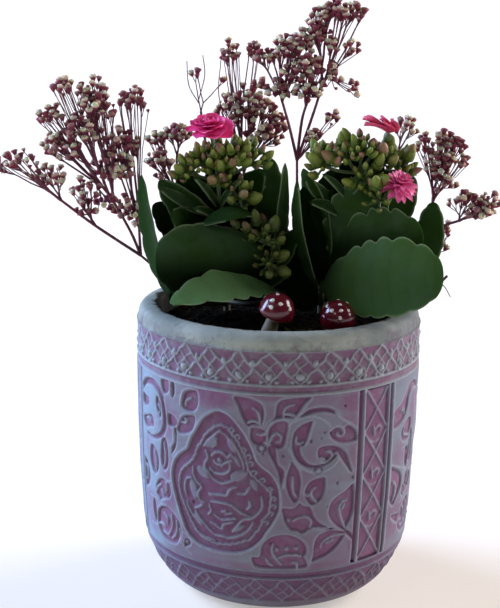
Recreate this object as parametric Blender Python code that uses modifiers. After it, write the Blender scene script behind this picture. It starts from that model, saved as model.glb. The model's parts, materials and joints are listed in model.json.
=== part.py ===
"""A round relief-moulded pot, planted with two kalanchoes, gypsophila sprays and two toadstool picks.

The frame: metres, +Z up, -Y towards the viewer, origin at the middle of the pot's flat foot.
Places and sizes below are in millimetres, and the functions turn them into metres.
"""
import math
import random
from collections import namedtuple

import bmesh
import bpy
from mathutils import Matrix, Quaternion, Vector
from mathutils.bvhtree import BVHTree

MILLIMETRE = 0.001
GOLDEN_ANGLE = math.pi * (3 - math.sqrt(5))
SEED = 7
POINT = 0.001  # a tube's width where it closes to a point

# The pot: a nearly straight wall that tucks in to a small flat foot, with a thick rounded lip.
POT_HEIGHT = 142.5
POT_RADIUS = 70.0
MOUTH_RADIUS = 58.8
FOOT_RADIUS = 42.0
SHOULDER_RADIUS = 67.4  # where the wall starts to curve in
SHOULDER_HEIGHT = 39.0
POT_FLOOR = 14.0
LIP_DEPTH = 7.2
UPPER_RAIL = 117.2  # the shallow channels that bound the pot's main field
LOWER_RAIL = 25.5
RAIL_WIDTH = 3.8
RAIL_CUT = 0.7
POT_SEGMENTS = 32
SHOULDER_STEPS = 6

# The soil fills the pot to just under the lip and is mounded a little.
SOIL_EDGE = 132.0
SOIL_MOUND = 4.0
FIT_GAP = 0.3  # between pieces that touch
HOLE_EASE = 1.3  # how much wider a hole in the soil is than what stands in it
HOLE_DEPTH = 106.0  # how low the stems reach in the soil

# Leaves are fleshy, with rounded lobes along both edges.
LEAF_THICKNESS = 1.8
LOBE_DEPTH = 0.12
PETIOLE_SHARE = 0.09  # the part of a leaf's length that is stalk
PETIOLE_WIDTH = 0.14  # against the leaf's width
LEAF_TIP_WIDTH = 0.16
BROAD_LEAF = 27.0  # a wider leaf than this is folded along its midrib

BUD_LENGTH = 8.6
BUD_WIDTH = 4.6
CORE_WIDTH = 5.4  # the small core that a cluster of buds stands on
STALK_THICKNESS = 2.2
CALYX_RADIUS = 2.6
PETAL_THICKNESS = 0.8
PETAL_LENGTH = 11.0
PETAL_WIDTH = 7.0
PETAL_ROLL = 0.2  # so that neighbours in a ring lie over each other
PETAL_LEANS = (8, 34, 62)  # degrees above the calyx, from the outer ring of petals inwards
RING_LENGTHS = (1.0, 0.8, 0.56)  # petal length in each ring, against the outer ring's
FLORET_WIDTH = 5.6
SPRAY_STEM = 1.8
SPRAY_TWIG = 1.0
FIRST_TWIG = 0.3  # the share of a bough's length that is bare
TWIG_SPREAD = 0.85  # how far a twig leans out of its bough; the last one goes straight on
CLEARANCE = 0.7  # kept by a bud or a floret from its neighbours

CAP_RADIUS = 8.2
CAP_HEIGHT = 9.0
CAP_STEPS = 5
CAP_EDGE = 0.9
BORE_SHARE = 0.6  # how far up the stem its wire reaches
TOADSTOOL_STEM_RADIUS = 3.4
WIRE_RADIUS = 0.7
WIRE_LENGTH = 24.0

# route is the middle of the stem, from its foot in the soil upwards.
Stem = namedtuple("Stem", "route thick thin")
# base and tip are the ends of the midrib, face is where the upper side looks,
# arch bows the midrib towards the face, and cup lifts the edges towards it.
Leaf = namedtuple("Leaf", "base tip width face arch cup lobes")
Cluster = namedtuple("Cluster", "centre buds facing")
Bloom = namedtuple("Bloom", "centre axis droop layers")
# A head stands on the top end of its stem, and splits at its fork.
Head = namedtuple("Head", "stem fork clusters bloom")
Bough = namedtuple("Bough", "route twigs reach")
Toadstool = namedtuple("Toadstool", "foot axis length")

LEFT_STEMS = [
    Stem([(-25, 6, HOLE_DEPTH), (-26, 6, 140), (-28, 5, 165), (-30, 4.5, 186)], 3.8, 2.6),
    Stem([(-26, 6, 141), (-15, 0, 147), (-4, -8, 157), (-1, -12, 167)], 3.2, 2.4),
    Stem([(-26, 6, 141), (-39, -3, 144), (-52, -13, 150)], 2.8, 2.2),
    Stem([(-26, 6, 140), (-12, -5, 142), (3, -11, 148)], 2.8, 2.2),
]
LEFT_LEAVES = [
    # the two broad leaves that lie to the front
    Leaf((-3, -8, 163), (-58, -33, 170), 36, (-0.12, -0.96, 0.25), 3, -0.1, 6),
    Leaf((3, -11, 148), (-50, -46, 150.5), 30, (0.1, -0.42, 0.9), 4, 0.2, 6),
    # the tall leaf at the left edge, seen nearly on edge
    Leaf((-52, -13, 148), (-65, -15, 206), 22, (-0.9, -0.4, 0.12), 5, 0.18, 6),
    # upper leaves round the flower stalk
    Leaf((-30, 4, 183), (-59, -6, 199), 12, (0.1, -0.45, 0.88), -2, 0.2, 3),
    Leaf((-29, 5, 172), (-60, 8, 200), 18, (-0.7, -0.5, 0.5), 2, 0.15, 4),
    Leaf((-28, 4, 170), (-52, -20, 187), 24, (-0.2, -0.75, 0.6), -2, 0.15, 5),
    Leaf((-29, 4, 180), (-20, -24, 181), 28, (0.05, -0.3, 0.95), 5, -0.4, 4),
    Leaf((-29, 6, 182), (-4, 19, 205), 13, (0.1, -0.6, 0.75), 2, 0.2, 3),
    Leaf((-3, -5, 160), (-5, 16, 211), 18, (0.1, -0.92, 0.3), -3, 0.15, 5),
    Leaf((-3, -8, 158), (2, 6, 210), 15, (0.9, -0.35, 0.15), 1, 0.15, 4),
    # the back of the plant
    Leaf((-28, 6, 160), (-56, 20, 172), 26, (-0.3, 0.3, 0.88), 4, 0.15, 5),
    Leaf((-26, 7, 156), (-10, 46, 158), 22, (0.1, 0.4, 0.9), 4, 0.15, 5),
    Leaf((-29, 6, 178), (-46, 24, 192), 16, (-0.2, 0.5, 0.85), 2, 0.15, 3),
    Leaf((-28, 6, 174), (-14, 28, 190), 18, (0.1, 0.5, 0.85), 2, 0.15, 3),
]
RIGHT_STEMS = [
    Stem([(21, 2, HOLE_DEPTH), (21, 2, 140), (23, 2.5, 164), (34, 3.5, 196)], 3.8, 2.6),
    Stem([(21, 2, 142), (34, 5, 152), (46, 4, 169), (51, -2, 186)], 3.2, 2.4),
    Stem([(21, 2, 140), (21, -6, 145), (20, -14, 152.5)], 3.0, 2.4),
]
RIGHT_LEAVES = [
    # the two broad leaves that lie to the front
    Leaf((20, -14, 152), (76, -39, 166), 36, (0.1, -0.86, 0.46), 4, 0.14, 7),
    Leaf((22, 2, 161), (68, -17, 183), 38, (0.02, -0.86, 0.48), 3, 0.14, 7),
    # leaves that stand up on the left and right of the plant
    Leaf((25, 3, 168), (48, 0, 201), 22, (-0.3, -0.9, 0.1), 3, 0.12, 5),
    Leaf((46, 4, 166), (76, -5, 194), 26, (-0.1, -0.95, 0.2), -3, 0.1, 5),
    Leaf((47, 5, 172), (66, 15, 203), 17, (0.3, -0.85, 0.35), 2, 0.15, 4),
    Leaf((32, 4, 184), (59, 20, 205), 17, (0, -0.6, 0.78), 2, 0.15, 4),
    Leaf((31, 3, 186), (12, 5, 203), 11, (0, -0.5, 0.85), -2, 0.2, 3),
    Leaf((23, 2, 156), (11, 9, 207), 20, (-0.8, -0.55, 0.15), -4, 0.15, 4),
    Leaf((21, -8, 146), (8, -8, 204), 16, (-0.92, -0.35, 0), 4, 0.15, 4),
    # the back of the plant
    Leaf((29, 6, 158), (52, 40, 162), 24, (0.3, 0.4, 0.85), 4, 0.15, 5),
    Leaf((28, 7, 154), (20, 49, 156), 22, (0, 0.4, 0.9), 4, 0.15, 5),
    Leaf((31, 6, 176), (50, 28, 190), 18, (0.2, 0.5, 0.85), 2, 0.15, 3),
    Leaf((31, 6, 180), (22, 32, 196), 16, (0, 0.5, 0.85), 2, 0.15, 3),
]

PLANTS = {
    "left_kalanchoe": (LEFT_STEMS, LEFT_LEAVES),
    "right_kalanchoe": (RIGHT_STEMS, RIGHT_LEAVES),
}

# A flower head is a stalk that splits, with a round cluster of buds or a bloom on each end.
HEADS = {
    "left_flower_head": Head(
        LEFT_STEMS[0],
        (-30.5, 3.5, 202),
        [
            Cluster((-46, -4, 206), 7, (-0.5, -0.3, 0.8)),
            Cluster((-38, -2, 211), 6, (-0.2, -0.4, 0.9)),
            Cluster((-29, 0, 211), 7, (0, -0.3, 0.9)),
            Cluster((-21, 1, 211), 6, (0.2, -0.2, 0.9)),
            Cluster((-13, 3, 210), 7, (0.4, -0.2, 0.8)),
            Cluster((-19, -5, 196), 6, (0.3, -0.6, 0.6)),
        ],
        Bloom((-34, 0, 226), (0.02, -0.34, 0.94), 0.05, (6, 4, 2)),
    ),
    "left_side_flower_head": Head(
        LEFT_STEMS[1],
        (-0.6, -14, 172.5),
        [
            Cluster((-5, -16, 178), 7, (-0.1, -0.6, 0.7)),
            Cluster((-2, -19, 168), 6, (0.1, -0.9, -0.1)),
        ],
        None,
    ),
    "right_flower_head": Head(
        RIGHT_STEMS[0],
        (37.5, 3, 206),
        [
            Cluster((20, 0, 212), 6, (-0.4, -0.3, 0.85)),
            Cluster((31, -1, 216), 7, (-0.3, -0.3, 0.9)),
            Cluster((39, -4, 219), 7, (0, -0.5, 0.85)),
            Cluster((50, 2, 214), 7, (0.4, -0.2, 0.85)),
            Cluster((59, 5, 210), 6, (0.5, -0.2, 0.8)),
            Cluster((42, -6, 205), 6, (0.1, -0.7, 0.5)),
        ],
        Bloom((46, 0, 229), (0.3, 0.1, 0.95), 0.6, (6, 4, 2)),
    ),
    "right_side_flower_head": Head(
        RIGHT_STEMS[1],
        (51.5, -5, 194),
        [Cluster((47, -9, 197), 8, (-0.2, -0.6, 0.7))],
        Bloom((56, -11, 201), (0.25, -0.45, 0.85), 0.1, (6, 4, 2)),
    ),
}

# Gypsophila: each bough follows a route, sends out twigs on the way, and ends in one.
SPRAYS = {
    "left_spray": [
        Bough([(-44, 24, HOLE_DEPTH), (-50, 22, 140), (-70, 15, 161)], 0, 0),
        Bough([(-70, 15, 161), (-96, 8, 178), (-112, 4, 190), (-130, 0, 201)], 6, 17),
        Bough([(-70, 15, 161), (-79, 16, 177), (-87, 18, 192), (-93, 20, 210), (-97, 20, 238)], 6, 19),
        Bough([(-84, 17, 186), (-98, 12, 203), (-112, 7, 221)], 4, 17),
        Bough([(-76, 16, 171), (-78, 22, 195), (-77, 26, 224)], 3, 16),
    ],
    "left_back_spray": [
        Bough([(-36, 33, HOLE_DEPTH), (-41, 33, 145), (-55, 35, 182), (-60, 36, 208)], 4, 13),
    ],
    "centre_left_spray": [
        Bough([(-26, 44, HOLE_DEPTH), (-32, 42, 160), (-32, 36, 198)], 0, 0),
        Bough([(-32, 36, 198), (-42, 32, 224), (-42, 30, 248)], 3, 10),
        Bough([(-32, 36, 198), (-27, 34, 232), (-21, 35, 258)], 5, 14),
    ],
    "tall_spray": [
        Bough([(10, 30, HOLE_DEPTH), (9, 27, 160), (8, 25, 209)], 0, 0),
        Bough([(8, 25, 209), (-1, 27, 230), (-8, 31, 252)], 5, 16),
        Bough([(8, 25, 209), (6, 28, 240), (3, 33, 266)], 4, 15),
        Bough([(8, 25, 209), (18, 28, 232), (21, 31, 256), (30, 35, 277)], 6, 17),
    ],
    "right_spray": [
        Bough([(45, 22, HOLE_DEPTH), (48, 22, 143), (60, 23, 158), (71, 24, 168)], 0, 0),
        Bough([(71, 24, 168), (77, 25, 192), (82, 29, 212)], 5, 15),
        Bough([(71, 24, 168), (87, 21, 174), (100, 20, 183)], 5, 13),
    ],
    "small_right_spray": [
        Bough([(28, 44, HOLE_DEPTH), (31, 45, 150), (52, 42, 198), (61, 37, 222)], 3, 9),
    ],
}

TOADSTOOLS = {
    "left_toadstool": Toadstool((-6, -43, 132.6), (0.42, -0.16, 0.88), 14.5),
    "right_toadstool": Toadstool((28, -36, 132.6), (-0.04, -0.36, 0.93), 11.0),
}


def mm(point):
    """A vector in metres from a point in millimetres."""
    return Vector(point) * MILLIMETRE


def clear_scene():
    for found in list(bpy.data.objects):
        bpy.data.objects.remove(found, do_unlink=True)


def new_collection(name):
    made = bpy.data.collections.new(name)
    bpy.context.scene.collection.children.link(made)
    return made


def new_material(name, colour, roughness, metallic=0.0):
    made = bpy.data.materials.new(name)
    made.use_nodes = True
    shader = made.node_tree.nodes["Principled BSDF"]
    shader.inputs["Base Color"].default_value = (*colour, 1)
    shader.inputs["Roughness"].default_value = roughness
    shader.inputs["Metallic"].default_value = metallic
    return made


def object_from(name, shape, where):
    """An object in a collection from a bmesh, which is used up."""
    mesh = bpy.data.meshes.new(name)
    shape.to_mesh(mesh)
    shape.free()
    made = bpy.data.objects.new(name, mesh)
    where.objects.link(made)
    return made


def applied(source, name, where):
    """The object as its modifiers leave it, as a plain mesh that takes its place."""
    bpy.context.view_layer.update()
    graph = bpy.context.evaluated_depsgraph_get()
    mesh = bpy.data.meshes.new_from_object(source.evaluated_get(graph))
    made = bpy.data.objects.new(name, mesh)
    made.matrix_world = source.matrix_world
    where.objects.link(made)
    bpy.data.objects.remove(source, do_unlink=True)
    made.name = name
    return made


def dress(made, shade):
    """Gives a finished piece its material and smooth shading."""
    made.data.materials.clear()
    made.data.materials.append(shade)
    made.data.shade_smooth()
    made.data.set_sharp_from_angle(angle=math.radians(40))
    return made


def turned(name, profile, segments, where):
    """A body of revolution about Z, from a profile that runs down its outer side."""
    shape = bmesh.new()
    ring = [shape.verts.new(mm((radius, 0, height))) for radius, height in profile]
    for first, second in zip(ring, ring[1:]):
        shape.edges.new((first, second))
    made = object_from(name, shape, where)
    screw = made.modifiers.new("Turn", "SCREW")
    screw.steps = screw.render_steps = segments
    screw.use_merge_vertices = True
    screw.merge_threshold = 0.0001
    return applied(made, name, where)


def standing(centre, axis):
    """The matrix that stands a Z-long shape along an axis, at a place in metres."""
    spin = axis.to_track_quat("Z", "Y").to_matrix().to_4x4()
    return Matrix.Translation(centre) @ spin


def rod(start, end, thick, thin, sides, where):
    """A straight tapered stick between two places in metres, with widths in millimetres."""
    shape = bmesh.new()
    bmesh.ops.create_cone(
        shape,
        cap_ends=True,
        cap_tris=True,
        segments=sides,
        radius1=thick / 2 * MILLIMETRE,
        radius2=thin / 2 * MILLIMETRE,
        depth=(end - start).length,
        matrix=standing((start + end) / 2, end - start),
    )
    return object_from("rod", shape, where)


def ball(centre, axis, width, where):
    """A small faceted ball about a place in metres, with its width in millimetres."""
    shape = bmesh.new()
    bmesh.ops.create_uvsphere(
        shape,
        u_segments=5,
        v_segments=3,
        radius=width / 2 * MILLIMETRE,
        matrix=standing(centre, axis),
    )
    return object_from("ball", shape, where)


def tube(route, widths, resolution, where):
    """A tube along a route, as wide as given at each point: a bevelled curve made a closed mesh."""
    curve = bpy.data.curves.new("tube", "CURVE")
    curve.dimensions = "3D"
    curve.bevel_depth = MILLIMETRE / 2
    curve.bevel_resolution = resolution
    curve.use_fill_caps = True
    line = curve.splines.new("POLY")
    line.points.add(len(route) - 1)
    for point, place, width in zip(line.points, route, widths):
        point.co = (*mm(place), 1)
        point.radius = width
    source = bpy.data.objects.new("tube", curve)
    where.objects.link(source)
    made = applied(source, "tube", where)
    shape = bmesh.new()
    shape.from_mesh(made.data)
    bmesh.ops.remove_doubles(shape, verts=shape.verts, dist=0.01 * MILLIMETRE)
    shape.to_mesh(made.data)
    shape.free()
    return made


def taper(thick, thin, count):
    """Widths that go evenly from thick to thin."""
    return [thick + (thin - thick) * index / (count - 1) for index in range(count)]


def fused(name, pieces, shade, where, operation="UNION", solver="EXACT"):
    """One body from overlapping pieces, or the first piece with the others cut from it."""
    first, *others = pieces
    group = new_collection(name + "_pieces")
    for piece in others:
        for owner in list(piece.users_collection):
            owner.objects.unlink(piece)
        group.objects.link(piece)
    join = first.modifiers.new("Join", "BOOLEAN")
    join.operation = operation
    join.operand_type = "COLLECTION"
    join.collection = group
    join.solver = solver
    made = applied(first, name, where)
    for piece in others:
        bpy.data.objects.remove(piece, do_unlink=True)
    bpy.data.collections.remove(group)
    return dress(made, shade)


def has_room(start, end, radius, trees):
    """Whether what runs between two places, in millimetres, is clear of what is already made."""
    steps = max(2, math.ceil((end - start).length / 1.5))
    reach = (radius + CLEARANCE) * MILLIMETRE
    places = [mm(start.lerp(end, step / steps)) for step in range(steps + 1)]
    return not any(tree.find_nearest(place, reach)[0] for tree in trees for place in places)


def tree_of(made):
    mesh = made.data
    places = [made.matrix_world @ vertex.co for vertex in mesh.vertices]
    return BVHTree.FromPolygons(places, [face.vertices for face in mesh.polygons])


def cavity(inset):
    """The pot's inner profile from the middle of its floor upwards, drawn in by an inset."""
    return [
        (0, POT_FLOOR + inset),
        (MOUTH_RADIUS - 14 - inset, POT_FLOOR + inset),
        (MOUTH_RADIUS - inset, POT_FLOOR + 30),
    ]


def ring_rail(outline, height):
    """The profile of a channel round the wall, from its top down, where outline gives the wall's radius."""
    half = RAIL_WIDTH / 2
    steps = ((half, 0), (half * 0.5, RAIL_CUT), (-half * 0.5, RAIL_CUT), (-half, 0))
    return [(outline(height + up) - cut, height + up) for up, cut in steps]


def shoulder(height):
    """The radius of the curved lower wall at a height."""
    rise = (SHOULDER_HEIGHT - height) / SHOULDER_HEIGHT
    return FOOT_RADIUS + (SHOULDER_RADIUS - FOOT_RADIUS) * math.sqrt(max(0, 1 - rise * rise))


def pot(shade, where):
    lip = [
        (MOUTH_RADIUS, POT_HEIGHT - 2.2),
        (MOUTH_RADIUS + 2, POT_HEIGHT),
        (POT_RADIUS - 4.8, POT_HEIGHT - 0.5),
        (POT_RADIUS - 2, POT_HEIGHT - 2.8),
        (POT_RADIUS - 0.9, POT_HEIGHT - LIP_DEPTH),
        (POT_RADIUS, POT_HEIGHT - LIP_DEPTH - 0.9),
    ]
    curve = []
    for step in range(2, SHOULDER_STEPS + 1):
        angle = math.pi / 2 * step / SHOULDER_STEPS
        height = SHOULDER_HEIGHT * (1 - math.sin(angle))
        curve.append((FOOT_RADIUS + (SHOULDER_RADIUS - FOOT_RADIUS) * math.cos(angle), height))
    wall = [
        *ring_rail(lambda height: POT_RADIUS, UPPER_RAIL),
        (POT_RADIUS - 0.6, 78),
        (SHOULDER_RADIUS, SHOULDER_HEIGHT),
        *ring_rail(shoulder, LOWER_RAIL),
    ]
    profile = cavity(0) + lip + wall + curve + [(0, 0)]
    return dress(turned("pot", profile, POT_SEGMENTS, where), shade)


def soil_height(radius):
    return SOIL_EDGE + SOIL_MOUND * (1 - (radius / MOUTH_RADIUS) ** 2)


def soil(holes, shade, where):
    """The soil, with a plain hole for each stem and wire that stands in it."""
    rise = [(radius, soil_height(radius)) for radius in (0, MOUTH_RADIUS / 2, MOUTH_RADIUS - FIT_GAP)]
    profile = rise + list(reversed(cavity(FIT_GAP)))
    body = turned("soil", profile, POT_SEGMENTS, where)
    cutters = []
    for start, end, thick in holes:
        start, end = Vector(start), Vector(end)
        deeper = start - (end - start).normalized() * FIT_GAP
        cutters.append(rod(mm(deeper), mm(end), thick + HOLE_EASE, thick + HOLE_EASE, 6, where))
    return fused("soil", [body, *cutters], shade, where, "DIFFERENCE")


def leaf_half_width(leaf, share, valley):
    """Half the width of a leaf at a share of its length, drawn in at a valley between lobes."""
    if share <= PETIOLE_SHARE:
        return leaf.width / 2 * PETIOLE_WIDTH
    blade = (share - PETIOLE_SHARE) / (1 - PETIOLE_SHARE)
    round_part = math.sin(math.pi * blade ** 0.85) ** 0.55 if blade < 1 else 0
    round_part = max(round_part, LEAF_TIP_WIDTH)
    return leaf.width / 2 * round_part * (1 - LOBE_DEPTH * valley)


def seat_on(stems, place):
    """The nearest place on the middle line of a plant's stems."""
    place = Vector(place)
    seats = []
    for stem in stems:
        for start, end in zip(stem.route, stem.route[1:]):
            start, end = Vector(start), Vector(end)
            share = (place - start).dot(end - start) / (end - start).length_squared
            seats.append(start.lerp(end, min(1, max(0, share))))
    return min(seats, key=lambda seat: (seat - place).length)


def blade(leaf, stems, where):
    """A fleshy leaf blade: a grid bent to shape, split into triangles and given its thickness."""
    stations = leaf.lobes * 2 + 2
    shape = bmesh.new()
    columns = 2 if leaf.width > BROAD_LEAF else 1
    bmesh.ops.create_grid(shape, x_segments=columns, y_segments=stations, size=1)
    base, tip = seat_on(stems, leaf.base), Vector(leaf.tip)
    along = (tip - base).normalized()
    side = along.cross(Vector(leaf.face)).normalized()
    up = side.cross(along)
    for vertex in shape.verts:
        station = round((vertex.co.y + 1) / 2 * stations)
        share = station / stations
        valley = station % 2
        across = vertex.co.x * leaf_half_width(leaf, share, valley)
        bow = leaf.arch * 4 * share * (1 - share)
        lift = leaf.cup * abs(across) ** 1.5 / math.sqrt(leaf.width / 2)
        place = base.lerp(tip, share) + side * across + up * (bow + lift)
        vertex.co = mm(place)
    bmesh.ops.triangulate(shape, faces=shape.faces)
    bmesh.ops.recalc_face_normals(shape, faces=shape.faces)
    made = object_from("blade", shape, where)
    skin = made.modifiers.new("Thickness", "SOLIDIFY")
    skin.thickness = LEAF_THICKNESS * MILLIMETRE
    skin.offset = 0
    return applied(made, "blade", where)


def leafy_plant(name, stems, leaves, shade, where):
    pieces = [tube(stem.route, taper(stem.thick, stem.thin, len(stem.route)), 1, where) for stem in stems]
    pieces += [blade(leaf, stems, where) for leaf in leaves]
    return fused(name, pieces, shade, where)


def bud(root, axis, where):
    """A closed bud: pointed at its root and its tip, and widest below the middle."""
    route = [root + axis * BUD_LENGTH * share for share in (0, 0.42, 0.78, 1)]
    return tube(route, (POINT, BUD_WIDTH, BUD_WIDTH * 0.7, POINT), 0, where)


def dome_directions(count, facing):
    """Directions spread by the golden angle over the cap of a ball round a facing."""
    turn = Vector((0, 0, 1)).rotation_difference(Vector(facing).normalized())
    for index in range(count):
        height = 1 - 1.15 * index / max(1, count - 1)
        flat = math.sqrt(max(0, 1 - height * height))
        angle = index * GOLDEN_ANGLE
        yield turn @ Vector((flat * math.cos(angle), flat * math.sin(angle), height))


def crowds(place, taken, distance):
    """Whether a place is too near one that is taken already. A free place becomes taken."""
    if any((place - other).length < distance for other in taken):
        return True
    taken.append(place)
    return False


def bud_cluster(cluster, trees, taken, where):
    """A small core with buds that stand out of it, where they have room."""
    centre = Vector(cluster.centre)
    pieces = [ball(mm(centre), Vector(cluster.facing), CORE_WIDTH, where)]
    for axis in dome_directions(cluster.buds, cluster.facing):
        root = centre + axis * CORE_WIDTH * 0.32
        tip = root + axis * BUD_LENGTH
        if not has_room(root + axis * CORE_WIDTH * 0.2, tip, BUD_WIDTH * 0.45, trees):
            continue
        if not crowds(root + axis * BUD_LENGTH * 0.6, taken, BUD_WIDTH * 0.95):
            pieces.append(bud(root, axis, where))
    return pieces


def flower_head(name, head, trees, shade, where):
    fork = Vector(head.fork)
    below, top = (Vector(place) for place in head.stem.route[-2:])
    along = (top - below).normalized()
    route = [top + along * FIT_GAP, top + along * 2 * STALK_THICKNESS, fork]
    pieces = [
        tube(route, taper(STALK_THICKNESS, STALK_THICKNESS * 0.9, 3), 1, where),
        ball(mm(fork), along, STALK_THICKNESS * 1.4, where),
    ]
    taken = []
    for cluster in head.clusters:
        facing = Vector(cluster.facing).normalized()
        under = Vector(cluster.centre) - facing * BUD_WIDTH * 0.5
        pieces.append(rod(mm(fork), mm(under), STALK_THICKNESS * 0.9, STALK_THICKNESS * 0.7, 4, where))
        pieces += bud_cluster(cluster, trees, taken, where)
    if head.bloom:
        axis = Vector(head.bloom.axis).normalized()
        seat = Vector(head.bloom.centre) - axis * FIT_GAP
        under = seat - axis * CALYX_RADIUS * 1.4
        pieces.append(rod(mm(fork), mm(under + axis * 0.8), STALK_THICKNESS * 0.9, 1.6, 4, where))
        pieces.append(rod(mm(under), mm(seat), CALYX_RADIUS * 0.9, CALYX_RADIUS * 2, 6, where))
    return fused(name, pieces, shade, where)


def petal(bloom, turn, lean, length, where):
    """One petal: a small spoon-shaped sheet that leans out from the bloom's axis."""
    shape = bmesh.new()
    bmesh.ops.create_grid(shape, x_segments=2, y_segments=2, size=1)
    for vertex in shape.verts:
        share = (vertex.co.y + 1) / 2
        half = PETAL_WIDTH / 2 * (0.34, 0.94, 0.66)[round(share * 2)] * length
        across = vertex.co.x * half
        reach = PETAL_LENGTH * length * share
        curl = -bloom.droop * reach * share * 0.55 + 0.35 * abs(vertex.co.x)
        vertex.co = Vector((across, reach, curl)) * MILLIMETRE
    bmesh.ops.triangulate(shape, faces=shape.faces)
    raise_up = Matrix.Rotation(lean, 4, "X")
    around = Matrix.Rotation(turn, 4, "Z")
    roll = Matrix.Rotation(PETAL_ROLL, 4, "Y")
    root = Matrix.Translation(Vector((0, 0.9, 1.6 + 2.2 * (1 - length))) * MILLIMETRE)
    place = standing(mm(bloom.centre), Vector(bloom.axis))
    bmesh.ops.transform(shape, matrix=place @ around @ root @ raise_up @ roll, verts=shape.verts)
    made = object_from("petal", shape, where)
    skin = made.modifiers.new("Thickness", "SOLIDIFY")
    skin.thickness = PETAL_THICKNESS * MILLIMETRE
    skin.offset = 0
    return applied(made, "petal", where)


def double_bloom(name, bloom, shade, where):
    """A double flower: rings of petals, shorter and steeper towards the middle, on a small core."""
    axis = Vector(bloom.axis).normalized()
    centre = mm(bloom.centre)
    core = rod(centre, centre + axis * 5 * MILLIMETRE, CALYX_RADIUS * 1.9, 2.6, 8, where)
    pieces = [core]
    for layer, count in enumerate(bloom.layers):
        lean = math.radians(PETAL_LEANS[layer])
        length = RING_LENGTHS[layer]
        for index in range(count):
            turn = 2 * math.pi * (index + 0.5 * (layer % 2)) / count
            pieces.append(petal(bloom, turn, lean, length, where))
    # the EXACT solver leaves open edges where the petals' roots cross
    return fused(name, pieces, shade, where, solver="MANIFOLD")


def point_along(route, share):
    """The place and direction at a share of a route's length, in millimetres."""
    points = [Vector(point) for point in route]
    lengths = [(second - first).length for first, second in zip(points, points[1:])]
    left = share * sum(lengths)
    for first, second, length in zip(points, points[1:], lengths):
        if left <= length:
            return first.lerp(second, left / length), (second - first).normalized()
        left -= length
    return points[-1], (points[-1] - points[-2]).normalized()


def floret_on_stalk(start, axis, length, trees, taken, where):
    """A thin stalk that widens into a cup and a round floret, if there is room for it."""
    top = length + FLORET_WIDTH * 0.84
    belly = length + FLORET_WIDTH * 0.4
    if not has_room(start + axis * length, start + axis * top, FLORET_WIDTH / 2, trees):
        return []
    if crowds(start + axis * belly, taken, FLORET_WIDTH):
        return []
    stalk = SPRAY_TWIG / 2
    profile = [(0, top), (FLORET_WIDTH / 2, belly), (stalk, length), (stalk, 0), (0, 0)]
    made = turned("floret", profile, 3, where)
    made.data.transform(standing(mm(start), axis))
    return [made]


def twig(start, axis, length, draw, trees, taken, where):
    """A twig that ends in a floret, with another on a short stalk beside it."""
    pieces = floret_on_stalk(start, axis, length, trees, taken, where)
    if pieces and length > 7:
        aside = Quaternion(axis, draw.uniform(0, 2 * math.pi)) @ axis.orthogonal().normalized()
        side_axis = (axis * 0.7 + aside * 0.72).normalized()
        side_start = start + axis * length * 0.5
        pieces += floret_on_stalk(side_start, side_axis, length * 0.5, trees, taken, where)
    return pieces


def spray(name, boughs, trees, shade, where):
    draw = random.Random(name + str(SEED))
    pieces = []
    taken = []
    for bough in boughs:
        widths = taper(SPRAY_STEM, SPRAY_STEM * 0.6, len(bough.route))
        pieces.append(tube(bough.route, widths, 0, where))
        for index in range(bough.twigs):
            share = FIRST_TWIG + (1 - FIRST_TWIG) * (index + 1) / bough.twigs
            start, along = point_along(bough.route, share)
            around = Quaternion(along, index * GOLDEN_ANGLE + draw.uniform(-0.3, 0.3))
            aside = around @ along.orthogonal().normalized()
            spread = 0.15 if index == bough.twigs - 1 else TWIG_SPREAD
            axis = (along + aside * spread + Vector((0, 0, 0.25))).normalized()
            length = bough.reach * draw.uniform(0.75, 1) * (1.15 - 0.55 * share)
            pieces += twig(start, axis, length, draw, trees, taken, where)
    return fused(name, pieces, shade, where)


def cap_profile():
    """The toadstool's cap: a dome with a rolled edge over a flat underside."""
    profile = [(0, CAP_HEIGHT)]
    for step in range(1, CAP_STEPS):
        angle = math.pi / 2 * step / CAP_STEPS
        profile.append((CAP_RADIUS * math.sin(angle), CAP_HEIGHT * math.cos(angle)))
    return profile + [(CAP_RADIUS, CAP_EDGE), (CAP_RADIUS - CAP_EDGE, 0), (0, 0)]


def toadstool_stem_profile(length):
    """A stem that narrows towards the cap, with a bore for its wire from below."""
    bore = WIRE_RADIUS + 1.4 * FIT_GAP
    return [
        (0, length),
        (TOADSTOOL_STEM_RADIUS * 0.8, length),
        (TOADSTOOL_STEM_RADIUS, length * 0.3),
        (TOADSTOOL_STEM_RADIUS * 0.9, 0),
        (bore, 0),
        (bore, length * BORE_SHARE),
        (0, length * BORE_SHARE),
    ]


def toadstool(name, place, shades, where):
    """The pieces of a toadstool pick, and the holes that it needs in the soil."""
    axis = Vector(place.axis).normalized()
    foot = Vector(place.foot)
    cap = turned(name + "_cap", cap_profile(), 12, where)
    cap.data.transform(standing(mm(foot + axis * (place.length + FIT_GAP)), axis))
    stalk = turned(name + "_stem", toadstool_stem_profile(place.length), 8, where)
    stalk.data.transform(standing(mm(foot), axis))
    wire_foot = foot - axis * WIRE_LENGTH
    wire_top = foot + axis * (place.length * BORE_SHARE - FIT_GAP)
    wire = rod(mm(wire_foot), mm(wire_top), WIRE_RADIUS * 2, WIRE_RADIUS * 2, 6, where)
    wire.name = name + "_wire"
    pieces = [dress(made, shade) for made, shade in zip((cap, stalk, wire), shades)]
    holes = [
        (wire_foot, foot, WIRE_RADIUS * 2),
        (foot, foot + axis * place.length, TOADSTOOL_STEM_RADIUS * 2),
    ]
    return pieces, holes


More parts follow.
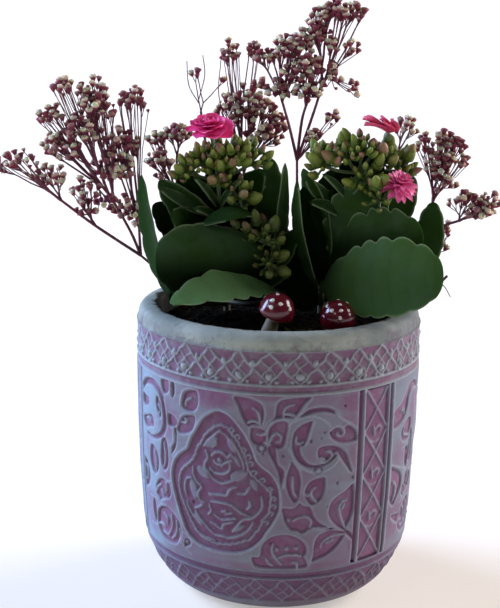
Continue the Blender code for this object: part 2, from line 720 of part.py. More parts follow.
def main():
    clear_scene()
    part = new_collection("potted_kalanchoe")
    stoneware = new_material("stoneware", (0.42, 0.26, 0.40), 0.85)
    earth = new_material("earth", (0.03, 0.022, 0.015), 0.95)
    green = new_material("leaf_green", (0.04, 0.13, 0.035), 0.4)
    bud_green = new_material("bud_green", (0.24, 0.34, 0.07), 0.45)
    pink = new_material("petal_pink", (0.75, 0.03, 0.22), 0.5)
    burgundy = new_material("spray_burgundy", (0.42, 0.13, 0.2), 0.7)
    red = new_material("lacquer_red", (0.28, 0.004, 0.02), 0.15)
    cream = new_material("cream_paint", (0.75, 0.68, 0.5), 0.5)
    steel = new_material("wire_steel", (0.3, 0.28, 0.26), 0.4, 1.0)

    made = [pot(stoneware, part)]
    holes = []
    for name, place in TOADSTOOLS.items():
        pieces, pick_holes = toadstool(name, place, (red, cream, steel), part)
        made += pieces
        holes += pick_holes
    for name, (stems, leaves) in PLANTS.items():
        made.append(leafy_plant(name, stems, leaves, green, part))
        holes.append((*stems[0].route[:2], stems[0].thick))
    for name, head in HEADS.items():
        if head.bloom:
            made.append(double_bloom(name.replace("flower_head", "bloom"), head.bloom, pink, part))
    trees = [tree_of(piece) for piece in made]
    for name, head in HEADS.items():
        made.append(flower_head(name, head, trees, bud_green, part))
        trees.append(tree_of(made[-1]))
    for name, boughs in SPRAYS.items():
        made.append(spray(name, boughs, trees, burgundy, part))
        trees.append(tree_of(made[-1]))
        holes.append((*boughs[0].route[:2], SPRAY_STEM))
    soil(holes, earth, part)


main()
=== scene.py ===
# Finish for the potted kalanchoe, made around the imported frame.
# Lengths here are millimetres and angles degrees, and the mesh helpers turn lengths into metres.
import json
import math
import random

import bpy
import numpy as np
from mathutils import Matrix, Vector

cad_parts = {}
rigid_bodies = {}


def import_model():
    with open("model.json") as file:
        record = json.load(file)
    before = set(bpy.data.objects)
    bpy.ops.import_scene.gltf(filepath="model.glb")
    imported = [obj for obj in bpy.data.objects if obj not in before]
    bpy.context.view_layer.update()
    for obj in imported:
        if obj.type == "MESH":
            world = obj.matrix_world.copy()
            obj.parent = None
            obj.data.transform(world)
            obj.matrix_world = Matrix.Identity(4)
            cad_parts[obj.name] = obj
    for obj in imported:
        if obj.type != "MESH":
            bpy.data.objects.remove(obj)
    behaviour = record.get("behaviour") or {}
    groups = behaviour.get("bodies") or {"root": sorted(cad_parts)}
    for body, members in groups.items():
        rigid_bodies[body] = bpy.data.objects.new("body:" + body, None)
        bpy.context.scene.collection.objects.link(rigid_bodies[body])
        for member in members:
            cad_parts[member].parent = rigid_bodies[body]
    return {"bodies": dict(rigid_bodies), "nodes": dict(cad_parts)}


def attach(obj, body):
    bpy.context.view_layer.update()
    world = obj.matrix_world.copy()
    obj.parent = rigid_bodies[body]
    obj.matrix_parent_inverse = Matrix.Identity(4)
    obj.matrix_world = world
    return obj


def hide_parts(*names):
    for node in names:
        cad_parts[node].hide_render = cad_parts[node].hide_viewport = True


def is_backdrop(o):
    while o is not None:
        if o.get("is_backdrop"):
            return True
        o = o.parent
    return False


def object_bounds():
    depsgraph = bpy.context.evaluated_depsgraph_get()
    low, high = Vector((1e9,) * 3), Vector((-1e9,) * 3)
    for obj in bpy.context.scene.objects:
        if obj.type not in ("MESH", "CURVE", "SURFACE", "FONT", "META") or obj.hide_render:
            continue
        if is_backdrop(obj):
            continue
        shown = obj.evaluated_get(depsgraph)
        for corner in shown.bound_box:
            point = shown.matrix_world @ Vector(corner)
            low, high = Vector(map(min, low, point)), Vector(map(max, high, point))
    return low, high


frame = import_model()
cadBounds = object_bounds()
bodyName = next(iter(frame["bodies"]))
print("frame loaded:", len(frame["nodes"]), "nodes on", bodyName)

fullTurn = 2 * math.pi
goldenAngle = math.pi * (3 - math.sqrt(5))
upward = Vector((0, 0, 1))


# Mesh helpers


def smoothStep(value, low, high):
    share = np.clip((value - low) / (high - low), 0, 1)
    return share * share * (3 - 2 * share)


def newShape(name, places, faces, **values):
    # an object with a smooth mesh and one attribute for each of the values
    mesh = bpy.data.meshes.new(name)
    mesh.from_pydata((np.asarray(places, float) / 1000).tolist(), [], faces)
    mesh.update()
    mesh.shade_smooth()
    for label, value in values.items():
        layer = mesh.attributes.new(label, "FLOAT", "POINT")
        layer.data.foreach_set("value", np.asarray(value, np.float32).ravel())
    return bpy.data.objects.new(name, mesh)


def newPiece(name, places, faces, **values):
    piece = newShape(name, places, faces, **values)
    bpy.context.scene.collection.objects.link(piece)
    return piece


def ringFaces(rows, columns, closeRows=False):
    # quads of a grid that is closed round its columns, with its normals outward for rows that run up
    fromRows = np.arange(rows if closeRows else rows - 1)
    row, column = np.meshgrid(fromRows, np.arange(columns), indexing="ij")
    nextRow = (row + 1) % rows
    nextColumn = (column + 1) % columns
    corners = (row * columns + column, row * columns + nextColumn,
               nextRow * columns + nextColumn, nextRow * columns + column)
    return np.stack([corner.ravel() for corner in corners], 1).tolist()


def tubeFaces(rows, columns):
    # rings closed at both ends by poles, which are the two places after the rings
    count = rows * columns
    last = count - columns
    faces = ringFaces(rows, columns)
    for column in range(columns):
        after = (column + 1) % columns
        faces += [[count, after, column], [count + 1, last + column, last + after]]
    return faces


def turned(faces):
    return [face[::-1] for face in faces]


def ringPlaces(radius, height, turn):
    # places of rings round the upright axis, ring by ring
    parts = np.broadcast_arrays(radius * np.cos(turn), radius * np.sin(turn), height)
    return np.stack(parts, -1).reshape(-1, 3)


def joined(parts):
    # small meshes as one: their places, faces and values, part after part
    places, faces, values = [], [], {}
    count = 0
    for partPlaces, partFaces, partValues in parts:
        places.append(partPlaces)
        faces += [[corner + count for corner in face] for face in partFaces]
        count += len(partPlaces)
        for label, value in partValues.items():
            values.setdefault(label, []).append(value)
    return np.concatenate(places), faces, {label: np.concatenate(value) for label, value in values.items()}


def finishPiece(piece, material, slot, *nodes):
    # gives the piece its material, puts it on the frame's body, and hides the frame's nodes that it stands
    # for
    piece.data.materials.clear()
    piece.data.materials.append(material)
    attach(piece, bodyName)
    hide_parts(*nodes)


def smoothCurve(points, steps):
    # a curve through the points, by the Catmull-Rom rule
    points = np.asarray(points, float)
    ends = [2 * points[0] - points[1], *points, 2 * points[-1] - points[-2]]
    share = np.linspace(0, 1, steps, endpoint=False)[:, None]
    run = []
    for before, start, end, after in zip(ends, ends[1:], ends[2:], ends[3:]):
        square = 2 * before - 5 * start + 4 * end - after
        cube = 3 * start - before - 3 * end + after
        run.append(0.5 * (2 * start + (end - before) * share + square * share ** 2 + cube * share ** 3))
    run.append(points[-1:])
    return np.concatenate(run)


def smoothLoop(points, steps):
    points = np.asarray(points, float)
    wrapped = np.concatenate([points[-1:], points, points[:2]])
    return smoothCurve(wrapped, steps)[steps:-steps - 1]


def waves(places, scale, seed):
    # gentle unevenness between -1 and 1, from sines in scattered directions
    draw = np.random.default_rng(seed)
    total = np.zeros(len(places))
    for octave in range(5):
        direction = draw.normal(size=3)
        direction /= np.linalg.norm(direction)
        pitch = scale * draw.uniform(0.6, 1.6)
        total += np.sin(places @ direction * fullTurn / pitch + draw.uniform(0, 6.28))
    return total / 5


# Material helpers


class Nodes:
    # a thin hand for placing nodes and their links
    def __init__(self, tree):
        self.tree = tree

    def add(self, kind, **settings):
        node = self.tree.nodes.new(kind)
        for name, value in settings.items():
            setattr(node, name, value)
        return node

    def link(self, source, target):
        self.tree.links.new(source, target)

    def put(self, node, socket, value):
        # a link where the value is a socket, or else the socket's own value
        target = node.inputs[socket]
        if isinstance(value, bpy.types.NodeSocket):
            self.link(value, target)
        else:
            target.default_value = value

    def fill(self, kind, inputs, **settings):
        # a node with its inputs put in
        node = self.add(kind, **settings)
        for socket, value in inputs.items():
            self.put(node, socket, value)
        return node

    def math(self, operation, first, second=0.0, clamp=False):
        inputs = {0: first, 1: second}
        return self.fill("ShaderNodeMath", inputs, operation=operation, use_clamp=clamp).outputs[0]

    def times(self, first, second, clamp=False):
        return self.math("MULTIPLY", first, second, clamp)

    def noise(self, where, scale, detail=4.0, rough=0.55):
        inputs = {"Vector": where, "Scale": scale, "Detail": detail, "Roughness": rough}
        return self.fill("ShaderNodeTexNoise", inputs).outputs["Fac"]

    def ramp(self, value, low, high, lowTo=0.0, highTo=1.0):
        inputs = dict(enumerate((value, low, high, lowTo, highTo)))
        return self.fill("ShaderNodeMapRange", inputs, interpolation_type="SMOOTHSTEP").outputs[0]

    def blend(self, share, first, second):
        inputs = {0: share}
        for socket, colour in ((6, first), (7, second)):
            inputs[socket] = colour if isinstance(colour, bpy.types.NodeSocket) else (*colour, 1)
        return self.fill("ShaderNodeMix", inputs, data_type="RGBA").outputs[2]

    def attribute(self, name):
        return self.add("ShaderNodeAttribute", attribute_name=name).outputs["Fac"]

    def objectPlace(self):
        return self.add("ShaderNodeTexCoord").outputs["Object"]

    def placeAlong(self, axis):
        return self.fill("ShaderNodeSeparateXYZ", {0: self.objectPlace()}).outputs[axis]

    def bump(self, height, strength, distance):
        inputs = {"Strength": strength, "Distance": distance, "Height": height}
        return self.fill("ShaderNodeBump", inputs).outputs[0]

    def group(self, made, **values):
        return self.fill("ShaderNodeGroup", values, node_tree=made)

    def layers(self, colour, *over):
        # further colours over the first, each by its own share
        for share, other in over:
            colour = self.blend(share, colour, other)
        return colour

    def dress(self, shader, colour, roughness, normal):
        for socket, source in (("Base Color", colour), ("Roughness", roughness), ("Normal", normal)):
            if source is not None:
                self.link(source, shader.inputs[socket])


def newMaterial(name, **fixed):
    # a material with its Principled BSDF, and the sockets that are the same all over set on it
    material = bpy.data.materials.new(name)
    material.use_nodes = True
    nodes = Nodes(material.node_tree)
    shader = material.node_tree.nodes["Principled BSDF"]
    for socket, value in {"Metallic": 0.0, **fixed}.items():
        shader.inputs[socket.replace("_", " ")].default_value = value
    return material, nodes, shader


def newTree(name, kind, inputs, outputs):
    # a node tree with its group sockets: inputs are a kind and a first value, outputs only a kind
    tree = bpy.data.node_groups.new(name, kind)
    for label, (socketKind, value) in inputs.items():
        socket = tree.interface.new_socket(label, in_out="INPUT", socket_type="NodeSocket" + socketKind)
        if value is not None:
            socket.default_value = value
    for label, socketKind in outputs.items():
        tree.interface.new_socket(label, in_out="OUTPUT", socket_type="NodeSocket" + socketKind)
    nodes = Nodes(tree)
    return tree, nodes, nodes.add("NodeGroupInput"), nodes.add("NodeGroupOutput")


def makeGrain():
    # fine grain with a few larger blotches, for stone, soil, leaves and paint
    inputs = {"Fine": ("Float", 1000.0), "Coarse": ("Float", 100.0), "Contrast": ("Float", 1.0)}
    outputs = {"Blotch": "Float", "Height": "Float"}
    tree, nodes, given, made = newTree("grain", "ShaderNodeTree", inputs, outputs)
    where = nodes.objectPlace()
    fine = nodes.noise(where, given.outputs["Fine"], 3.0, 0.65)
    coarse = nodes.noise(where, given.outputs["Coarse"], 5.0, 0.6)
    centred = nodes.math("SUBTRACT", coarse, 0.5)
    spread = nodes.math("MULTIPLY_ADD", centred, given.outputs["Contrast"])
    spread.node.inputs[2].default_value = 0.5
    nodes.link(nodes.math("ADD", spread, 0.0, clamp=True), made.inputs["Blotch"])
    nodes.link(nodes.math("ADD", fine, nodes.times(coarse, 0.4)), made.inputs["Height"])
    return tree


grain = makeGrain()


def grainySkin(name, sizes, dark, light, rough, bump=None, over=None, **fixed):
    # a skin mottled by the grain from dark to light; over gives the layers of colour on top of that
    material, nodes, shader = newMaterial(name, **fixed)
    fine = nodes.group(grain, **dict(zip(("Fine", "Coarse", "Contrast"), sizes)))
    colour = nodes.blend(fine.outputs["Blotch"], dark, light)
    if over:
        colour = nodes.layers(colour, *over(nodes))
    roughness = nodes.ramp(fine.outputs["Blotch"], 0.2, 0.8, *rough)
    nodes.dress(shader, colour, roughness, nodes.bump(fine.outputs["Height"], *bump) if bump else None)
    return material


def lowDown(low, high, share, colour):
    # for grainySkin: one layer of colour, strongest at the low height and gone at the high one
    return lambda nodes: [(nodes.ramp(nodes.placeAlong("Z"), low, high, share, 0.0), colour)]


def tinted(colour, change):
    # the colour times one number, or times one for each channel
    return tuple((np.array(colour) * change).tolist())


# Geometry Nodes helpers


def newGeometryTree(name, inputs):
    inputs = {"Geometry": ("Geometry", None), **inputs, "Material": ("Material", None)}
    return newTree(name, "GeometryNodeTree", inputs, {"Geometry": "Geometry"})


def namedValue(nodes, name, kind="FLOAT"):
    named = nodes.fill("GeometryNodeInputNamedAttribute", {"Name": name}, data_type=kind)
    return named.outputs["Attribute"]


def finishTree(nodes, geometry, given, made):
    # every tree ends in Realize Instances and Set Material
    real = nodes.fill("GeometryNodeRealizeInstances", {0: geometry})
    smooth = nodes.fill("GeometryNodeSetShadeSmooth", {0: real.outputs[0]})
    inputs = {0: smooth.outputs[0], "Material": given.outputs["Material"]}
    nodes.link(nodes.fill("GeometryNodeSetMaterial", inputs).outputs[0], made.inputs[0])


def tubeTree():
    # a round tube along every line of the mesh, as thick as its points say
    tree, nodes, given, made = newGeometryTree("tubes along lines", {"Sides": ("Int", 6)})
    curve = nodes.fill("GeometryNodeMeshToCurve", {0: given.outputs["Geometry"]})
    around = {"Resolution": given.outputs["Sides"], "Radius": 1.0}
    section = nodes.fill("GeometryNodeCurvePrimitiveCircle", around)
    skin = nodes.fill("GeometryNodeCurveToMesh", {
        "Curve": curve.outputs[0],
        "Profile Curve": section.outputs[0],
        "Scale": namedValue(nodes, "thickness"),
        "Fill Caps": True,
    })
    finishTree(nodes, skin.outputs[0], given, made)
    return tree


def scatterTree():
    # one of a collection's shapes on every point, stood along the point's axis and turned about it
    tree, nodes, given, made = newGeometryTree("shapes on points", {
        "Shapes": ("Collection", None),
        "Seed": ("Int", 1),
        "Tone": ("Float", 1.0),
    })
    shapes = nodes.fill("GeometryNodeCollectionInfo", {
        "Collection": given.outputs["Shapes"],
        "Separate Children": True,
        "Reset Children": True,
    })
    axis = namedValue(nodes, "axis", "FLOAT_VECTOR")
    stand = nodes.fill("FunctionNodeAlignRotationToVector", {"Vector": axis}, axis="Z")
    seed = given.outputs["Seed"]
    spin, tone = [
        nodes.fill("FunctionNodeRandomValue", {3: most, "Seed": seed}, data_type="FLOAT").outputs[1]
        for most in (fullTurn, given.outputs["Tone"])
    ]
    about = nodes.fill("FunctionNodeAxisAngleToRotation", {"Axis": (0, 0, 1), "Angle": spin})
    turns = {"Rotation": stand.outputs[0], "Rotate By": about.outputs[0]}
    turn = nodes.fill("FunctionNodeRotateRotation", turns, rotation_space="LOCAL")
    place = nodes.fill("GeometryNodeInstanceOnPoints", {
        "Points": given.outputs["Geometry"],
        "Instance": shapes.outputs[0],
        "Pick Instance": True,
        "Rotation": turn.outputs[0],
        "Scale": namedValue(nodes, "size"),
    })
    inputs = {"Name": "tone", "Geometry": place.outputs[0], "Value": tone}
    keep = nodes.fill("GeometryNodeStoreNamedAttribute", inputs, data_type="FLOAT", domain="INSTANCE")
    finishTree(nodes, keep.outputs[0], given, made)
    return tree


tubes = tubeTree()
scatter = scatterTree()


def grown(name, source, tree, **inputs):
    # runs a tree on a mesh of points or lines, and keeps the result as a plain mesh
    holder = bpy.data.objects.new(name, source)
    bpy.context.scene.collection.objects.link(holder)
    modifier = holder.modifiers.new("Grow", "NODES")
    modifier.node_group = tree
    for socket in tree.interface.items_tree:
        if socket.item_type == "SOCKET" and socket.in_out == "INPUT" and socket.name in inputs:
            modifier[socket.identifier] = inputs[socket.name]
    graph = bpy.context.evaluated_depsgraph_get()
    mesh = bpy.data.meshes.new_from_object(holder.evaluated_get(graph))
    holder.modifiers.clear()
    holder.data = mesh
    mesh.name = name
    return holder


def lineMesh(runs):
    # runs are pairs of points and radii
    places, edges, radii = [], [], []
    for points, thick in runs:
        first = len(places)
        places += [list(Vector(point) / 1000) for point in points]
        edges += [(first + step, first + step + 1) for step in range(len(points) - 1)]
        radii += [value / 1000 for value in thick]
    mesh = bpy.data.meshes.new("lines")
    mesh.from_pydata(places, edges, [])
    mesh.attributes.new("thickness", "FLOAT", "POINT").data.foreach_set("value", radii)
    return mesh


def pointMesh(spots):
    # spots are a place, an axis and a size
    mesh = bpy.data.meshes.new("spots")
    mesh.from_pydata([list(Vector(place) / 1000) for place, axis, size in spots], [], [])
    axes = [part for place, axis, size in spots for part in Vector(axis).normalized()]
    mesh.attributes.new("axis", "FLOAT_VECTOR", "POINT").data.foreach_set("vector", axes)
    mesh.attributes.new("size", "FLOAT", "POINT").data.foreach_set("value", [spot[2] for spot in spots])
    return mesh


def shapeSet(name, shapes):
    # a collection of the shapes that a scatter picks from, kept out of the scene
    group = bpy.data.collections.new(name)
    for shape in shapes:
        for owner in list(shape.users_collection):
            owner.objects.unlink(shape)
        group.objects.link(shape)
    return group


def discard(group):
    for shape in list(group.objects):
        bpy.data.objects.remove(shape, do_unlink=True)
    bpy.data.collections.remove(group)

# The pot: its carving is worked out over one third of the wall, and goes three times round.
# Angles are degrees from the front, growing to the right, and heights are from the foot.

potSizes = {
    "frontColumns": 420,  # over the front 150 degrees
    "backColumns": 300,
    "rowStep": 0.65,
    "cutDepth": 0.95,  # how far the pink lies under the pale face
    "cutSlope": 0.75,  # width of a cut's sloping side
    "lineHeight": 0.85,  # fine lines that stand in the cuts
    "lineOnFace": 0.3,
    "bossHeight": 1.25,  # over the cut ground
    "carvedRadius": 69.0,  # where the drawing of the ornament is true
    "panelStart": -68.3,
    "mouth": 58.8,
    "foot": 42.0,
    "shoulder": (67.4, 39.0),
    "floor": 14.0,
    "lattice": 31,  # lozenges round each band
    "wobble": 0.22,  # unevenness of the hand-made wall
    "courses": (28.3, 114.9, 135.0),  # heights where the carved field starts and ends, and the lip starts
    "crease": 75,  # sharper edges than this many degrees stay sharp
}

# outline of the large medallion
medallion = [
    (-22.2, 105.9), (-18.9, 104.8), (-16.6, 102.8), (-14.2, 99.6), (-12.2, 96.5), (-10.5, 93), (-9.2, 90),
    (-8.2, 86.6), (-7.2, 83.4), (-4.9, 80.4), (-2.2, 78), (0.3, 74), (1.5, 70), (2, 65.5), (2, 60.5),
    (1, 56.5), (-1, 51.8), (-3.1, 48), (-4.9, 44.2), (-7.4, 40.8), (-10.5, 38.1), (-14, 36.4),
    (-18.4, 35.5), (-25.1, 35.4), (-29.6, 36), (-33, 37.2), (-36, 39.2), (-38.4, 42), (-40.2, 46),
    (-42, 51.8), (-43.8, 58), (-45.2, 64), (-45.7, 69), (-45, 73), (-43.6, 76.8), (-41.6, 79.7),
    (-39.2, 82.2), (-36.8, 84.5), (-35.9, 87), (-34.9, 90.2), (-33.3, 93.2), (-31.7, 96.5), (-29.9, 100.1),
    (-27.6, 102.7), (-25, 104.9),
]
# its inner ridge, and the hooks that stand outside it on the right
medallionRidge = [
    (-22.5, 98.5), (-19.3, 98), (-17.6, 96), (-15.1, 92.5), (-13.9, 90), (-12.6, 87), (-11.4, 83),
    (-10.5, 78.5), (-8.5, 75.5), (-6, 73), (-3.9, 70.5), (-1.8, 67.5), (-1.8, 64), (-2.2, 60), (-2.6, 57.5),
    (-4.7, 54.5), (-6, 50), (-8, 47), (-9.7, 44), (-12.6, 42.6), (-15.5, 41), (-18.4, 40), (-21.7, 39.5),
    (-25.1, 39.4), (-29.2, 40.5), (-32.1, 42.5), (-34.2, 45.5), (-36.3, 49), (-38, 53), (-39.6, 57),
    (-40.9, 60.5), (-41.5, 64.5), (-41.3, 68), (-40.4, 71.5), (-38.8, 74), (-35.9, 77), (-33.8, 80),
    (-32.6, 83), (-31.7, 86), (-29.6, 89.5), (-28.4, 92.5), (-25.5, 96),
]
medallionHooks = [
    (-17, 97), (-14.6, 94), (-12.2, 88), (-10.2, 84.8), (-9.5, 81.6), (-8, 77.4), (-4.8, 73.8), (-2, 69.5),
    (-0.6, 64.8), (-0.5, 61), (-1.6, 57.4), (-3.4, 52.6),
]
# places where the pale wash is worn away to the pink: middle, reach both ways and how much
wornPatches = [
    ((-26, 112), (14, 7), 0.95), ((-4, 114.5), (16, 3), 0.6), ((30, 109.5), (9, 6), 0.8),
    ((29, 100), (4, 6), 0.6), ((-48, 96), (7, 12), 0.7), ((-48, 62), (6, 20), 0.75),
    ((-62, 44), (10, 14), 0.7), ((-40, 38), (8, 7), 0.7), ((31, 84), (3, 14), 0.6),
    ((-6, 100), (10, 5), 0.35), ((1, 80), (4, 14), 0.35), ((33, 40), (3, 12), 0.6),
    ((-62, 76), (6, 10), 0.5), ((16, 112), (10, 4), 0.45), ((0, 30), (40, 2.5), 0.5),
]
# closed shapes cut into the wall
carvedShapes = [
    [(-16.4, 113.3), (-13, 113.6), (-9.5, 113), (-6.2, 111.3), (-4.8, 108.8), (-4.6, 105), (-5.2, 101.5),
     (-6.3, 100), (-8.6, 100.6), (-10.6, 99.6), (-12.2, 101.8), (-13.6, 105.2), (-15, 109.5)],
    [(-9.9, 97.5), (-9.6, 99.2), (-6.5, 99.4), (-4.2, 98), (-3.6, 95.5), (-3.9, 92.6), (-5, 91.2),
     (-7.5, 91), (-9.2, 92.5), (-10, 95)],
    [(12.9, 113.9), (9, 114.2), (5.4, 113.8), (1.8, 113), (0, 110.8), (-0.4, 107.5), (-0.9, 104.6),
     (-3.2, 101.8), (-4.4, 98.4), (-3.6, 97.4), (-2.6, 100.6), (-0.6, 103), (2.5, 104.3), (5.2, 104.2),
     (6.8, 104.9), (8.4, 106.8), (9.8, 109.3), (11.4, 112)],
    [(-3.2, 96.5), (-2.4, 99.8), (-0.4, 102.2), (2.2, 103.1), (4.2, 102.3), (4.5, 99.5), (4, 96),
     (3.5, 92.4), (2.6, 90.2), (0.6, 89.6), (-1.6, 90.6), (-2.8, 93.2)],
    [(13.8, 102.6), (10.6, 101.8), (8.2, 100.2), (6.6, 97.6), (5.9, 94.2), (5.8, 91), (6.2, 88),
     (7.2, 85.2), (9, 82.4), (11.6, 80.4), (14.4, 79.5), (17.4, 79.9), (20.2, 81.2), (22.4, 83),
     (23.9, 85.2), (22.4, 85.6), (20.6, 83.6), (18.6, 82), (16, 81.4), (13.4, 81.8), (11.6, 83.2),
     (9.9, 85.8), (9.2, 88.2), (9.2, 90.4), (10.9, 91.2), (12.1, 94.2), (12.9, 98)],
    [(16.5, 89.6), (19.6, 90.4), (22.8, 89.8), (25.6, 88.2), (27.8, 85.6), (29, 82.2), (30, 78.6),
     (30.8, 76), (29.6, 75.8), (28.2, 78.2), (26.4, 81.2), (24.9, 83.8), (23.6, 86.4), (22.4, 85.8),
     (21, 83.6), (18.8, 82.8), (16.6, 83.2), (15.7, 85.6), (15.7, 88)],
    [(20.2, 96.3), (20.8, 97.8), (23.7, 98.9), (26, 98), (28, 99.2), (30.4, 97.6), (32, 95), (32.2, 91),
     (29.5, 90.2), (26.6, 90.2), (24, 91), (21.8, 92.6), (20.6, 94.4)],
    [(6.1, 83.2), (7.7, 81), (9.1, 78), (9.7, 74), (9.6, 70), (9.2, 66.5), (8.6, 64), (7.3, 63), (5.8, 65),
     (4.6, 68.5), (3.9, 72), (4, 76), (4.8, 79.5)],
    [(18.8, 75.1), (15.6, 74.6), (13.2, 73.4), (11.8, 71.2), (11.1, 68.4), (11.3, 65.6), (12.4, 63.2),
     (13.6, 61.6), (16, 62), (18, 64.2), (19.2, 67.2), (19.6, 71), (19.4, 74)],
    [(2.6, 60.6), (6.4, 60.4), (8.2, 61.6), (9.4, 63.2), (11, 61.6), (13.4, 61), (14.6, 58.4), (15.8, 55),
     (18.2, 52), (21.2, 49.8), (24.4, 48.3), (21.2, 47.8), (18.4, 48.9), (15.2, 49.4), (13.4, 49.2),
     (12, 47.8), (10.2, 47.3), (8.6, 48.6), (6.4, 49), (4.8, 51), (3.5, 54), (2.8, 57.4)],
    [(31.4, 69.8), (28, 67), (24.3, 64.6), (22.2, 62.4), (21.1, 59.2), (21, 56.2), (22, 53.2), (23.6, 50.8),
     (25.4, 48.6), (27.6, 47), (29, 46.4), (29.6, 48.6), (31.4, 52.4), (32.3, 56), (32.5, 61), (32.2, 66)],
    [(29.2, 45.6), (26.4, 46.9), (23.4, 47.6), (20.4, 47.5), (17.8, 46.2), (16.2, 43.8), (15.6, 40),
     (15.4, 36), (14.9, 32.4), (17.9, 33.5), (21.2, 35), (24.2, 37.2), (26.8, 40.2), (28.9, 43.6)],
    [(-5.4, 40.4), (-4.2, 43), (-1.8, 45.6), (1.6, 47), (5.4, 47.1), (8.8, 45.6), (11.4, 43.2),
     (12.8, 40.4), (13, 37.6), (11.9, 35.6), (12.9, 33.4), (13.2, 29.7), (6, 29.3), (-2, 29.3),
     (-7.4, 29.9), (-8.8, 32), (-9.2, 35.1), (-6.3, 35.4), (-5.6, 37.6)],
    [(-3.2, 90.6), (-0.6, 91), (0.2, 87.4), (0.5, 84), (1.2, 81.6), (3, 79.6), (3.2, 76.5), (2.5, 73),
     (2.1, 70.2), (1.5, 73.4), (0.9, 77.4), (-0.4, 81.2), (-1.8, 84.8), (-3, 88)],
    [(-42, 92), (-40.6, 96), (-38.4, 99.6), (-35.2, 101), (-32.6, 100.4), (-32.9, 96.6), (-34, 93.4),
     (-36.8, 91.2), (-39.8, 90.4)],
    [(-39.2, 104.5), (-38.8, 108.6), (-37.4, 111.6), (-34.6, 113), (-31.8, 113), (-31, 109), (-31.6, 105),
     (-33.6, 102.6), (-37, 102.4)],
    [(-50.6, 85.4), (-48.4, 85), (-47.5, 81), (-47.2, 76), (-47.8, 71.6), (-49.6, 68.8), (-51.4, 69.6),
     (-52.5, 73.4), (-52.4, 78.6), (-51.8, 82.6)],
    [(-57.6, 56), (-56.8, 59.4), (-54.8, 62.6), (-51.6, 64.2), (-48.4, 63.6), (-46.6, 61.4), (-46.4, 58),
     (-48, 55.4), (-51, 53.8), (-54, 52.4), (-56.6, 53.6)],
    [(-57.6, 42), (-56.6, 46.2), (-53.6, 49.2), (-49.8, 50.2), (-45.6, 48.4), (-42.4, 45), (-41.2, 40.4),
     (-41.8, 35.8), (-44.6, 32.8), (-48.6, 31.8), (-53, 32.6), (-56.4, 35.4), (-57.6, 38.6)],
]
# the same for the left end of a panel, as it is on the front one and on the next one to the right
leftEndShapes = [
    [(-67.5, 90.6), (-63.6, 92.4), (-60.4, 93.6), (-58, 93), (-57.2, 90.4), (-58, 87.6), (-60.6, 87.2),
     (-63, 85.8), (-65.6, 85.6), (-67.2, 87.6)],
    [(-67.8, 102), (-65, 101.8), (-62, 101.6), (-61.4, 99), (-63.6, 96.6), (-66.4, 96.2), (-67.8, 98)],
    [(-51.5, 113.6), (-49, 114.8), (-46.4, 114.6), (-46, 111), (-47.4, 108), (-49.6, 107.4), (-51, 110)],
    [(-47, 98.4), (-44.5, 98.4), (-42.2, 97), (-41.6, 94.5), (-43.4, 92.6), (-46, 92.4), (-47.2, 94.8)],
    [(-59.6, 79), (-57, 78.4), (-54.6, 75.6), (-54, 71.6), (-54.8, 67), (-57, 64.2), (-59.4, 65),
     (-61.2, 68.4), (-61.8, 73), (-61.2, 77)],
    [(-68, 68.4), (-66, 68.6), (-63.4, 66.4), (-62.4, 62.6), (-62.8, 58.6), (-64.6, 55.6), (-66.4, 54.8),
     (-68, 54.6)],
]
nextEndShapes = [
    [(-67.4, 90.8), (-67.5, 96), (-67, 99.4), (-62.4, 101.8), (-59, 105.3), (-56.6, 108.8), (-53, 110),
     (-48, 109.6), (-43, 106.5), (-44, 104.5), (-49, 106.4), (-52.5, 105.4), (-55, 102.6), (-55.8, 98.6),
     (-57.6, 95.2), (-60.4, 92.4), (-64, 90.9)],
    [(-60.4, 88.8), (-58, 91), (-54, 92.4), (-50.8, 91.4), (-50.2, 88), (-51.4, 84.8), (-54, 81.6),
     (-57.5, 81.4), (-60.2, 83), (-61, 86)],
    [(-67, 71.6), (-64, 69.6), (-60.6, 67.6), (-58, 64.6), (-57.4, 60.6), (-59, 56), (-61.6, 52.6),
     (-63.6, 50.4), (-65.8, 52), (-67.2, 55.4), (-67.4, 60), (-66.8, 66)],
    [(-64.4, 45.4), (-61, 44.8), (-57, 43.6), (-57.8, 39.6), (-60.4, 40.8), (-63, 43)],
]
# scrolling bands cut into the wall: run, first width and last width
carvedBands = [
    ([(9.2, 104.8), (12, 106.9), (15.4, 107.7), (19, 107.4), (23, 105.4)], 2.6, 2.6),
    ([(29.3, 46), (31.5, 43.5), (33, 41)], 2.6, 2),
    ([(-42.8, 92), (-43, 88), (-43.4, 84), (-45, 79.5)], 2.6, 2),
    ([(-44.2, 114.6), (-43.8, 111), (-44.2, 107.4)], 2.6, 2.2),
]
leftEndBands = [
    ([(-67.8, 105), (-65.5, 107.8), (-62, 109.8), (-57.5, 110.2), (-53.5, 108.4), (-51, 105), (-49.6, 100),
      (-49, 95), (-49.5, 90.5), (-51.6, 86.5), (-55.4, 83.8), (-59.4, 82.6), (-63, 83.2)], 4.2, 2.8),
]
# leaves cut into the wall: foot, point and width
leftEndLeaves = [((-54.8, 104.8), (-51.8, 94.2), 4.6), ((-60, 51), (-59.4, 37.4), 4.8)]
carvedLeaves = [((-39.6, 33.2), (-37, 38), 3)]
nextEndLeaves = [((-55, 78.6), (-53.6, 66.4), 6), ((-53, 62.6), (-50, 54), 6), ((-56, 42), (-45, 37), 4)]
